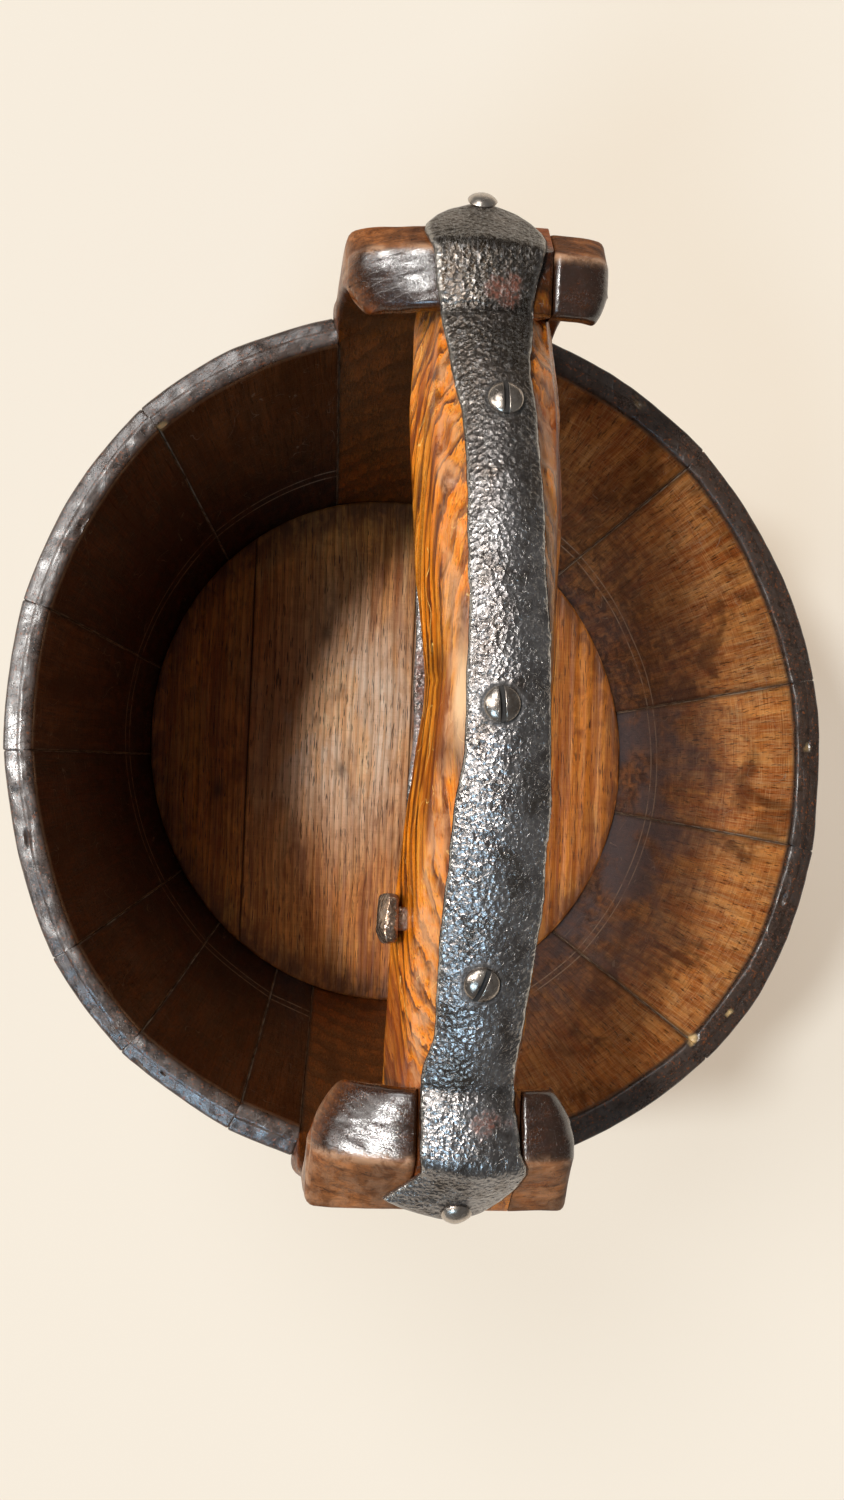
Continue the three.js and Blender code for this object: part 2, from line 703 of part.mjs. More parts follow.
function spikeSpot() {
  const { at } = archSpot(handleX - handleHalfWidth - gap, spikeY, -spikeBelowTop);
  return { at, out: new THREE.Vector3(-1, 0, 0) };
}

// Square-headed spike driven in from the left: a faceted head and a tapering square shank.
function addSpike() {
  const spot = spikeSpot();
  const corner = Math.SQRT1_2;
  const squareTurned = (pairs) => turned(pairs, 4).rotateZ(Math.PI / 4);
  const body = solid(squareTurned([
    [0, -spikeLength],
    [0.18 * spikeShank, -spikeLength],
    [spikeShank * corner, -0.6 * spikeLength],
    [spikeShank * corner, 0],
    [spikeHead * corner, 0],
    [spikeHead * corner, 0.5 * spikeHeadOut],
    [0.62 * spikeHead * corner, spikeHeadOut],
    [0, spikeHeadOut],
  ]));
  addFastener('handle_spike', body, spot, forgedIron);
}

function addStraps() {
  const wide = 1.5 * earHalfWidth;
  const top = solid(sidePrism(ribbon(strapLine(), gap, strapThickness), -wide, wide));
  let strap = top.intersect(solid(prism(strapPlan(), 2 * earTop)));
  for (const { spot } of screwList) {
    strap = strap.subtract(bore(spot, screwShankRadius, screwLength));
  }
  for (const { spot } of nailList) {
    strap = strap.subtract(bore(spot, nailShankRadius, nailLength));
  }
  add('handle_strap', strap, forgedIron);

  const line = [];
  const reach = span.half - underStrapSetback;
  for (let i = 0; i <= archSteps; i += 1) {
    const { at } = archSpot(0, span.middle + reach * ((2 * i) / archSteps - 1), -handleDepth);
    line.push(new THREE.Vector2(at.y, at.z));
  }
  const strip = ribbon(line, -gap - underStrapThickness, underStrapThickness);
  let under = solid(sidePrism(strip, underStrapX - underStrapHalf, underStrapX + underStrapHalf));
  for (const { spot } of tackList) {
    under = under.subtract(bore(spot, nailShankRadius, tackLength));
  }
  add('under_strap', under, forgedIron);
}

function addFasteners() {
  const past = 2 * screwHeadRadius;
  const slotFloor = screwHeadRise - screwSlotDepth;
  const slot = box([-screwSlotWidth / 2, screwSlotWidth / 2], [-past, past], [slotFloor, past]);
  const screw = domedNail(screwHeadRadius, screwHeadRise, screwShankRadius, screwLength).subtract(slot);
  screwList.forEach(({ name, spot, turn }) => addFastener(name, screw, spot, paleIron, turn));
  const nail = domedNail(nailHeadRadius, nailHeadRise, nailShankRadius, nailLength);
  nailList.forEach(({ name, spot }) => addFastener(name, nail, spot, paleIron));
  const tack = domedNail(nailHeadRadius, nailHeadRise, nailShankRadius, tackLength);
  tackList.forEach(({ name, spot }) => addFastener(name, tack, spot, paleIron));
}

addStaves();
addBottom();
addHoop('foot_hoop', footHoopHeight, hoopLaps.foot);
addHoop('upper_hoop', upperHoopHeight, hoopLaps.upper);
addHandle();
addStraps();
addSpike();
addFasteners();

// The origin moves to the middle of the whole part's plan.
const middle = new THREE.Box3().setFromObject(group, true).getCenter(new THREE.Vector3()).setZ(0);
group.children.forEach((mesh) => mesh.position.sub(middle));

export default group;
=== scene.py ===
"""Looks of an old staved well bucket: a slightly oval tub of dark staves with two tall ears, a carved
handle bar let into their heads, forged iron over and under the bar, and two hoops round the tub.
Lengths below are millimetres until a mesh is made; +Z is up and +Y runs from the near ear to the far ear."""
import json

import bpy
import numpy as np
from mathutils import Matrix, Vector

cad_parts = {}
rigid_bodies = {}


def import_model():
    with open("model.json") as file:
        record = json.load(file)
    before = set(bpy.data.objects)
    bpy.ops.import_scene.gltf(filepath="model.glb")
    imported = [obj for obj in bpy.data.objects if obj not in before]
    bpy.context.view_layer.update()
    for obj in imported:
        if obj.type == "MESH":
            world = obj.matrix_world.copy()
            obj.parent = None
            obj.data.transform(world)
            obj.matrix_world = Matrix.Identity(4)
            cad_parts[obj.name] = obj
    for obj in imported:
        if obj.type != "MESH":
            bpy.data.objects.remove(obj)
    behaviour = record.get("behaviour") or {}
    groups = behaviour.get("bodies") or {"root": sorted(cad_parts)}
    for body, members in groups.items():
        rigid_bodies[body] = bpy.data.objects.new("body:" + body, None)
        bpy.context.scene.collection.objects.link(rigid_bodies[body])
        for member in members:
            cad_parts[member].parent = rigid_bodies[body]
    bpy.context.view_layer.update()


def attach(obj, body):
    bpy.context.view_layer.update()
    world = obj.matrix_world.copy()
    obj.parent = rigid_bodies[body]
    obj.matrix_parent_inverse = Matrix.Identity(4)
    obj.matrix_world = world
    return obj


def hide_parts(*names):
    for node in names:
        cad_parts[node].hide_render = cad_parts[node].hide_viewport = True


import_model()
MM = 0.001
# points that fall on one step of this grid are one point of a mesh
steps_per_mm = 2e4
# the pieces are drawn round the axis of the rim, which stands a little off the middle of the part
axis = np.array([-0.055, -3.022, 0.0])

# Tub, as the solids have it
rim_radius, foot_radius, rim_height, wall = 168.7, 140.2, 250.0, 11.8
mean_radius = 160.0
foot_shift = np.array([4.3, 2.7])
oval_share, oval_axis = 0.032, np.radians(105.0)
stave_joints = [-74.6, -45.4, -12.9, 11.7, 48.5, 74.9, 104.3, 132.6, 162.7, 183.4, 212.5, 227.9, 245.4, 254.6]
far_ear_stave, near_ear_stave = 5, 13
joint_gap, rim_round = 0.04, 1.5
# two lines that the cooper's tool scribed round the inside
scribed_heights = (78.0, 87.0)
# tone of each stave from 0, dark, to 1, pale, which is partly painted light and shade: pale on the lit right
# wall, dark on the shaded left wall; and how much grey-blue bloom, partly a painted sheen, it has at its foot
stave_tones = [0.5, 0.68, 0.78, 0.62, 0.52, 0.04, 0.0, 0.08, 0.0, 0.0, 0.0, 0.03]
stave_blooms = [0.6, 1.0, 1.0, 0.4, 0.2, 0.05, 0.0, 0.1, 0.05, 0.1, 0.05, 0.2]
# chips of the rim: bearing, distance from the rim's axis, size along and across the rim, depth, how fresh
rim_chips = [
    (314.9, 160.0, 1.9, 1.6, 1.5, 1.0), (321.3, 163.0, 1.3, 1.1, 1.1, 1.0),
    (200.0, 163.5, 1.5, 1.8, 1.0, 0.9), (132.0, 160.0, 2.2, 1.5, 1.0, 0.25),
    (231.0, 166.0, 3.0, 2.0, 1.4, 0.0), (150.0, 157.5, 2.4, 1.0, 1.2, 0.0),
    (176.0, 166.5, 3.0, 1.6, 1.2, 0.1), (28.0, 167.0, 4.0, 1.5, 1.1, 0.0), (339.0, 158.0, 3.5, 1.3, 1.1, 0.0),
    (2.0, 157.0, 2.0, 1.3, 1.4, 0.3), (196.0, 157.0, 3.0, 1.4, 1.0, 0.0), (60.0, 163.0, 2.0, 1.4, 0.8, 0.15)]
# where the rim's oval is fuller than an ellipse: how much, bearing, reach in degrees
rim_fullness = [(3.4, -140, 20), (2.3, -33, 16), (0.7, 20, 45), (1.4, 133, 20), (-1.6, -85, 24)]

# Bottom boards and the groove that holds them
board_top, board_thickness, groove_depth, tongue_half = 30.0, 18.0, 4.0, 4.7
board_joints = [-72.0, 15.0, 78.0]
board_tones = [0.0, 0.05, 0.05, 0.0]
# dark spots of the bottom: place and reach
board_spots = [(-31.8, 63.8, 3.2), (-86.7, -22.9, 3.4), (-21.2, -9.5, 2.6), (-16.2, -25.4, 2.2),
               (-93.7, 99.8, 2.5)]

# Ears
ear_rise, ear_half_width, head_foot = 125.0, 42.9, 166.7
ear_top = rim_height + ear_rise
far_head = dict(side=1, inner=135.3, outer=164.3, bevel_run=10.5, bevel_drop=11.0, proud=9.5,
                left_cut=(8.5, 14.0), right_cut=(3.5, 9.0), dish=2.6)
near_head = dict(side=-1, inner=112.5, outer=154.8, bevel_run=20.5, bevel_drop=20.0, proud=0.5,
                 left_cut=(10.0, 19.0), right_cut=(8.5, 18.0), dish=3.4)
shoulder_rise, head_lip, cove_height, head_depth = 38.0, 5.5, 35.0, 34.0
tenon_x, tenon_half, tenon_depth = 7.0, 16.1, 46.0
notch_floor = ear_top - tenon_depth - 0.3
# a horn's top falls away towards the notch in these steps
lip_steps, lip_drops = np.array([2.2, 1.2, 0.5, 0.0]), [0, 0.25, 0.8, 2.0]

# Handle bar and its ironwork
handle_x, handle_depth, handle_rise = 6.0, 44.0, 27.0
span_middle = (far_head["inner"] - near_head["inner"]) / 2
span_half = (far_head["inner"] + near_head["inner"]) / 2
handle_crown = ear_top - 1 + handle_rise
bar_left = np.array([
    [-180, 23.6], [-100, 24.2], [-70, 25.3], [-48, 24.5], [-26, 22.4], [-9, 20.4], [14, 17.7], [30, 19.6],
    [43, 21.5], [64, 23.4], [85, 24.8], [109, 25.2], [138, 22.6], [180, 22.6]])
bar_right = np.array([
    [-180, 20.5], [-102, 20.9], [-64, 23.4], [-20, 22.9], [24, 23.1], [37, 23.9], [82, 25.0], [109, 25.0],
    [135, 22.0], [180, 22.0]])
strap_thickness = 3.2
strap_left = np.array([
    [-158.5, 6.5], [-158.0, 0.0], [-157.0, -5.0], [-154.6, -12.0], [-151.3, -18.6], [-149.0, -16.5],
    [-146.0, -12.6], [-141.0, -7.7], [-133.0, -8.5], [-107.0, -9.0], [-95.0, -6.5], [-66.0, -6.9],
    [-36.0, -6.0], [-9.0, -3.2], [14.0, -3.0], [39.0, -3.0], [69.0, -4.2], [85.0, -5.0], [99.0, -6.0],
    [114.0, -9.6], [129.0, -12.0], [141.0, -14.0], [154.5, -16.4], [163.0, -18.6], [166.0, -17.6],
    [170.0, -14.3], [173.0, -10.6], [175.8, -5.2], [177.0, -1.5], [177.3, 1.5]])
strap_right = np.array([
    [-158.5, 6.5], [-158.0, 10.0], [-156.0, 14.5], [-150.5, 20.2], [-146.0, 23.2], [-140.0, 26.0],
    [-137.0, 25.6], [-131.0, 23.5], [-118.0, 20.6], [-104.0, 20.0], [-83.0, 22.0], [-50.0, 24.0],
    [-20.0, 24.0], [14.0, 22.5], [39.0, 21.0], [69.0, 19.3], [85.0, 18.3], [99.0, 16.8], [120.0, 15.5],
    [139.0, 17.3], [152.0, 19.5], [161.5, 20.9], [164.5, 20.3], [168.5, 17.8], [173.0, 13.0], [175.8, 8.0],
    [177.0, 4.4], [177.3, 1.5]])
# the screws' places across and along the strap, and how far their slots are turned
screw_places = [(6.8, 101.5, 2), (7.2, 8.0, 6), (6.4, -75.5, -20)]
tack_places = (112, 52, -30, -94)
under_strap_x, under_strap_half, under_strap_thickness = 6.2, 21.4, 3.0
under_strap_ends = (-105, 127)
hoop_width, hoop_thickness = 24.0, 2.6
# each hoop's lower edge and the bearing of its lap
hoops = dict(foot_hoop=(16.0, 232.0), upper_hoop=(186.0, 308.0))
fit = 0.3


# Small tools for arrays

def smooth(value, low, high):
    """Rises from 0 at low to 1 at high along a cubic ease."""
    t = np.clip((value - low) / (high - low), 0, 1)
    return t * t * (3 - 2 * t)


def hump(value, centre, reach):
    """A bell of height 1 at the centre that has fallen to 1/e at the reach."""
    return np.exp(-((value - centre) / reach) ** 2)


def ripple(points, reach, seed, waves=14):
    """Smooth noise of about -1 to 1: a mean of sine waves in random directions, each about reach long."""
    draw = np.random.default_rng(seed)
    directions = draw.normal(size=(waves, 3))
    numbers = 2 * np.pi / (reach * draw.uniform(0.6, 1.7, waves))
    directions *= (numbers / np.linalg.norm(directions, axis=1))[:, None]
    phases = draw.uniform(0, 2 * np.pi, waves)
    total = np.zeros(points.shape[:-1])
    for direction, phase in zip(directions, phases):
        total += np.sin(points @ direction + phase)
    return total * 1.6 / np.sqrt(waves) / 1.4


def spread(*parts):
    """Arrays stretched to one shape and stacked as the coordinates of points."""
    return np.stack(np.broadcast_arrays(*parts), axis=-1)


def there_and_back(over, under):
    """Each ring's values along one face and back along the other."""
    over, under = np.broadcast_arrays(over, under)
    return np.concatenate([over, under[:, ::-1]], axis=1)


def on_first(values):
    """Values of the rings' first face, with none on the face that leads back."""
    return np.concatenate([values, 0 * values], axis=1)


def unit(vectors):
    return vectors / np.linalg.norm(vectors, axis=-1, keepdims=True)


def steps_along(line):
    """Length from a polyline's start to each of its points."""
    return np.r_[0, np.cumsum(np.linalg.norm(np.diff(line, axis=0), axis=1))]


def at_steps(line, steps, wanted):
    """Points of a polyline at wanted lengths from its start."""
    return np.stack([np.interp(wanted, steps, column) for column in line.T], axis=1)


def resample(line, count):
    """The same polyline with count points at equal steps of its length."""
    steps = steps_along(line)
    return at_steps(line, steps, np.linspace(0, steps[-1], count))


def soften(line, reach, step=0.4):
    """The polyline at equal small steps with its corners rounded by a running mean over the reach."""
    dense = resample(line, int(steps_along(line)[-1] / step) + 2)
    n = max(1, int(reach / step))
    weights = np.hanning(2 * n + 3)[1:-1]
    weights /= weights.sum()
    padded = np.concatenate([2 * dense[0] - dense[n:0:-1], dense, 2 * dense[-1] - dense[-2:-n - 2:-1]])
    return np.stack([np.convolve(column, weights, "valid") for column in padded.T], axis=1)


def ease_corners(line, rounds=2):
    """Cuts every corner of a polyline at a quarter of its sides, again and again; the ends stay."""
    for _ in range(rounds):
        near = 0.75 * line[:-1] + 0.25 * line[1:]
        far = 0.25 * line[:-1] + 0.75 * line[1:]
        line = np.concatenate([line[:1], np.stack([near, far], 1).reshape(-1, 2), line[-1:]])
    return line


def oval(points):
    """Stretches the round tub along its long axis, narrows it across and leans it so that its foot stands
    beside its rim."""
    long_axis = np.array([np.cos(oval_axis), np.sin(oval_axis)])
    along = points[..., 0] * long_axis[0] + points[..., 1] * long_axis[1]
    out = points.copy()
    out[..., :2] = (1 - oval_share) * points[..., :2] + 2 * oval_share * along[..., None] * long_axis
    out[..., :2] += foot_shift * (1 - points[..., 2:] / rim_height)
    return out


def round_angle(bearing):
    """The angle in the round tub, in radians, whose point lands on a bearing (degrees) of the oval one."""
    off = np.radians(bearing) - oval_axis
    along = np.cos(off) / (1 + oval_share)
    across = np.sin(off) / (1 - oval_share)
    turns = np.round(off / (2 * np.pi)) * 2 * np.pi
    return np.arctan2(across, along) + turns + oval_axis


def outer_radius(z):
    return foot_radius + (rim_radius - foot_radius) * z / rim_height


# Making the meshes

def weld(points, quads, values):
    """A closed shell with its equal points joined: faces that lose a corner become triangles, and a shell
    that is inside out is turned."""
    keys = np.round(points * steps_per_mm).astype(np.int64)
    _, first, back = np.unique(keys, axis=0, return_index=True, return_inverse=True)
    points, quads = points[first], back.reshape(-1)[quads]
    same = (quads == np.roll(quads, -1, axis=1)).any(1) | (quads[:, :2] == quads[:, 2:]).any(1)
    whole, broken = quads[~same], quads[same]
    tris = np.concatenate([broken[:, [0, 1, 2]], broken[:, [0, 2, 3]]])
    tris = tris[(tris != np.roll(tris, -1, axis=1)).all(1)]
    fan = np.concatenate([whole[:, [0, 1, 2]], whole[:, [0, 2, 3]], tris])
    a, b, c = points[fan[:, 0]], points[fan[:, 1]], points[fan[:, 2]]
    if np.einsum("ij,ij->i", a, np.cross(b, c)).sum() < 0:
        whole, tris = whole[:, ::-1], tris[:, ::-1]
    return points, whole, tris, {key: value[first] for key, value in values.items()}


def make_piece(node, finish, shells, sharp=38.0):
    """One object from closed shells of (points, faces of four, values), named for its node and its
    material, with the values as attributes of its points."""
    slot, material = finish
    parts = [weld(*shell) for shell in shells]
    starts = np.cumsum([0] + [len(part[0]) for part in parts])
    points = (np.concatenate([part[0] for part in parts]) + axis) * MM
    quads, tris = (np.concatenate([part[k] + start for part, start in zip(parts, starts)]) for k in (1, 2))
    name = f"{node}_{slot.split('_')[-1]}"
    mesh = bpy.data.meshes.new(name)
    mesh.vertices.add(len(points))
    mesh.vertices.foreach_set("co", points.astype(np.float32).ravel())
    corners = np.concatenate([quads.ravel(), tris.ravel()]).astype(np.int32)
    firsts = np.r_[np.arange(len(quads)) * 4, len(quads) * 4 + np.arange(len(tris)) * 3].astype(np.int32)
    mesh.loops.add(len(corners))
    mesh.loops.foreach_set("vertex_index", corners)
    mesh.polygons.add(len(firsts))
    mesh.polygons.foreach_set("loop_start", firsts)
    mesh.polygons.foreach_set("use_smooth", np.ones(len(firsts), bool))
    mesh.update(calc_edges=True)
    mesh.validate()
    for key in parts[0][3]:
        value = np.concatenate([part[3][key] for part in parts]).astype(np.float32)
        kind, entry = ("FLOAT_VECTOR", "vector") if value.ndim == 2 else ("FLOAT", "value")
        mesh.attributes.new(key, kind, "POINT").data.foreach_set(entry, value.ravel())
    mesh.set_sharp_from_angle(angle=np.radians(sharp))
    mesh.materials.append(material)
    piece = bpy.data.objects.new(name, mesh)
    bpy.context.scene.collection.objects.link(piece)
    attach(piece, "root")
    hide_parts(node)


def sweep(rings, values):
    """A skin over rings of 2M points each. Point k of a ring faces point 2M-1-k across the ring, and the
    two end rings are closed by joining those pairs. A value may be one number, a row or a column for all
    the rings."""
    count, around = rings.shape[:2]
    index = np.arange(count * around).reshape(count, around)
    a, b = index[:-1], index[1:]
    faces = [np.stack([a, np.roll(a, -1, 1), np.roll(b, -1, 1), b], axis=-1).reshape(-1, 4)]
    k = np.arange(around // 2 - 1)
    for ring, flip in ((index[0], 1), (index[-1], -1)):
        cap = np.stack([ring[k], ring[around - 1 - k], ring[around - 2 - k], ring[k + 1]], axis=-1)
        faces.append(cap[:, ::flip])
    flat = {}
    for key, value in values.items():
        entry = np.shape(value)[2:]
        flat[key] = np.broadcast_to(value, (count, around, *entry)).reshape(-1, *entry)
    return rings.reshape(-1, 3), np.concatenate(faces), flat


def toward_pair(rings, amount):
    """Moves each point of the rings towards the point that faces it by amount, at most 45% of the way."""
    across = rings[:, ::-1] - rings
    width = np.linalg.norm(across, axis=-1, keepdims=True) + 1e-9
    return rings + across / width * np.minimum(amount[..., None], 0.45 * width)


def end_steps(length, rounding, middle_count):
    """Stations from 0 to length, close together at both ends, and how far each is pulled in by the end's
    quarter-round of the given radius."""
    quarter = np.radians(np.array([0, 20, 42, 66, 90]))
    lead = rounding * (1 - np.cos(quarter))
    drop = rounding * (1 - np.sin(quarter))
    middle = np.linspace(rounding, length - rounding, middle_count)[1:-1]
    return np.r_[lead, middle, length - lead[::-1]], np.r_[drop, 0 * middle, drop[::-1]]


# The tub

def wall_stations():
    """Heights up a stave from foot to rim, the inset of both faces there, which draws the quarter-rounds at
    foot and rim, and the groove for the bottom."""
    turn = np.radians(np.linspace(0, 90, 7))
    body = np.r_[np.linspace(4, 15.9, 4), [16, 16, 26, 26, 26.6, 28, 30, 32],
                 np.linspace(35, rim_height - 5, 80)]
    crown = rim_height - 0.2 - rim_round * (1 - np.sin(turn))
    heights = np.r_[[0, 0.5, 2.2], body, crown, np.full(7, rim_height - 0.1)]
    across_rim = rim_round + (wall / 2 - rim_round) * np.linspace(0.12, 1, 7)
    insets = np.r_[[2.4, 0.9, 0], 0 * body, rim_round * (1 - np.cos(turn)), across_rim]
    groove = 0 * heights
    groove[8:10] = groove_depth
    return heights, insets, groove


def wall_rings(start, stop, shares, heights, insets, groove):
    """Rings of a stave: at each share of its width, outer face upward and then inner face downward. Its
    flanks lie half a joint gap inside the two radial planes."""
    outer = outer_radius(heights) - insets
    inner = outer_radius(heights) - wall + insets + groove
    radius = np.r_[outer, inner[::-1]]
    inset = joint_gap / 2 / radius
    angle = start + inset + shares[:, None] * (stop - start - 2 * inset)
    flat = -0.5 * (4 * shares * (1 - shares))[:, None]
    height = np.r_[heights, heights[::-1]]
    return oval(spread((radius + flat) * np.cos(angle), (radius + flat) * np.sin(angle), height))


def stave_values(rings, shares, width, seed, rim):
    """Where a stave's grain runs, how near its flanks are, how much its inside darkens towards the foot, what
    is rim and how it shines."""
    draw = np.random.default_rng(seed)
    height = rings[..., 2]
    outside = np.arange(rings.shape[1]) < rings.shape[1] // 2
    depth = np.linalg.norm(rings[..., :2], axis=-1) - outer_radius(height)
    grain = spread((shares * width)[:, None], depth, height) + draw.uniform(0, 400, 3) * [1, 0, 1]
    flank = np.exp(-np.minimum(shares, 1 - shares) * width / 1.6)[:, None]
    return dict(grain=grain, flank=flank, foot_dark=(1 - outside) * smooth(height, 228, 60), rim=rim,
                shine=0.08 + 0.22 * outside + 0.9 * rim)


def chip_rim(rings, bearing, reach):
    """Sinks each chip as a ragged bowl into the rings of a stave, and gives how fresh the wood is there."""
    fresh = np.zeros(bearing.shape)
    for at, from_axis, long, wide, deep, pale in rim_chips:
        round_by = np.radians((bearing - at + 180) % 360 - 180) * from_axis
        away = (round_by / long) ** 2 + ((reach - from_axis) / wide) ** 2
        away = away * (1 + 0.35 * ripple(rings, 2.2, 13))
        near = np.clip(1.3 - away, 0, 1) * smooth(rings[..., 2], rim_height - 5, rim_height - 2)
        rings[..., 2] -= deep * near
        fresh = np.maximum(fresh, near * pale)
    return np.clip(fresh * 1.6, 0, 1)


def add_stave(number, start, stop, finish):
    """A plain stave: wavy by hand, worn down along the rim and towards its outer edge, and chipped."""
    heights, insets, groove = wall_stations()
    width = (stop - start) * mean_radius
    along, pulled = end_steps(width, 0.8, int(width / 1.6) + 6)
    rings = wall_rings(start, stop, along / width, heights, insets, groove)
    rings = toward_pair(rings, pulled[:, None])
    draw = np.random.default_rng(300 + number)
    lean = draw.uniform(-0.35, 0.05)
    radial = unit(rings[..., :2])
    outward = np.where(np.arange(rings.shape[1]) < rings.shape[1] // 2, 1.0, -1.0)
    hand = ripple(rings, 46, 400 + number)
    rings[..., :2] += radial * (lean + outward * (0.2 * hand - 0.2))[..., None]
    worn = 0.5 + 0.5 * ripple(rings, 34, 11)
    loss = 0.7 * worn + 0.12 * ripple(rings, 6, 12) + draw.uniform(0, 0.4)
    rings[..., 2] -= smooth(rings[..., 2], 200, rim_height) * loss
    rim = smooth(rings[..., 2], rim_height - 4.5, rim_height - 2.6)
    bearing = np.degrees(np.arctan2(rings[..., 1], rings[..., 0]))
    reach = np.linalg.norm(rings[..., :2], axis=-1)
    rings[..., 2] -= rim * 2.3 * (1 - np.r_[insets, wall - insets] / wall)
    fuller = sum(more * hump(bearing, at, by) for more, at, by in rim_fullness)
    rings[..., :2] += radial * (fuller * smooth(rings[..., 2], 205, 246))[..., None]
    fresh = chip_rim(rings, bearing, reach)
    tone = stave_tones[number - 1]
    values = stave_values(rings, along / width, width, 500 + number, rim)
    values.update(tone=tone, bloom=stave_blooms[number - 1] * values["foot_dark"], fresh=fresh,
                  shine=values["shine"] - 0.55 * rim * min(2 * tone, 1))
    make_piece(f"stave_{number:02d}", finish, [sweep(rings, values)])


def head_lines(head, count):
    """Outer and inner lines of an ear's head as (distance from the axis, height), from the rim up to the
    middle of the top: outside straight with a bevel, inside a short lip over a cove that swings back to the
    wall."""
    outer, inner, run = head["outer"], head["inner"], head["bevel_run"]
    bevel_foot = ear_top - head["bevel_drop"]
    middle = (outer - run + inner) / 2
    outside = np.array([[head_foot, rim_height], [outer + 0.3, bevel_foot - 3], [outer, bevel_foot],
                        [outer - run, ear_top], [middle, ear_top]])
    wall_inside = (outer_radius(rim_height) - wall) * (1 + oval_share)
    t = np.linspace(0, 1, 30)[:, None]
    ends = np.array([[wall_inside, rim_height], [wall_inside - 1, rim_height + 1.6 * shoulder_rise],
                     [inner + 0.52 * (wall_inside - inner), ear_top - cove_height],
                     [inner, ear_top - head_lip]])
    cove = (1 - t) ** 3 * ends[0] + 3 * (1 - t) ** 2 * t * ends[1] + 3 * (1 - t) * t * t * ends[2]
    cove = cove + t ** 3 * ends[3]
    inside = np.concatenate([cove, [[inner, ear_top - 1.2], [inner + 1.2, ear_top], [middle, ear_top]]])
    lines = []
    for line in (soften(outside, 1.5), soften(inside, 1.2)):
        steps = steps_along(line)
        knee = np.interp(ear_top - head_depth, line[:, 1], steps)
        wanted = np.interp(np.linspace(0, 1, count), [0, 0.28, 1], [0, knee, steps[-1]])
        lines.append(at_steps(line, steps, wanted))
    return lines


def face_at(line, z):
    """Distance from the axis of a head's face at a height, from one of its two lines."""
    below = line[:, 1] < ear_top - 0.8
    return np.interp(z, line[below, 1], line[below, 0])


def ear_stations(width, notch_shares):
    """Shares of an ear's width, close together at its ends and at the notch's edges, how far each is pulled
    in, which of them lie in the notch, and how far the top falls at the notch's lips."""
    along, pulled = end_steps(width, 3.0, 44)
    shares = along / width
    low, high = notch_shares
    before = np.r_[shares[shares < low - 0.03], low - lip_steps / width]
    within = np.linspace(low, high, 12)
    after = np.r_[high + lip_steps[::-1] / width, shares[shares > high + 0.03]]
    every = np.r_[before, within, after]
    cut = np.r_[0 * before, 1 + 0 * within, 0 * after] > 0
    lip_drop = np.zeros(len(every))
    lip_drop[len(before) - len(lip_steps):len(before)] = lip_drops
    lip_drop[len(every) - len(after):][:len(lip_steps)] = lip_drops[::-1]
    return every, np.interp(every, shares, pulled), cut, lip_drop


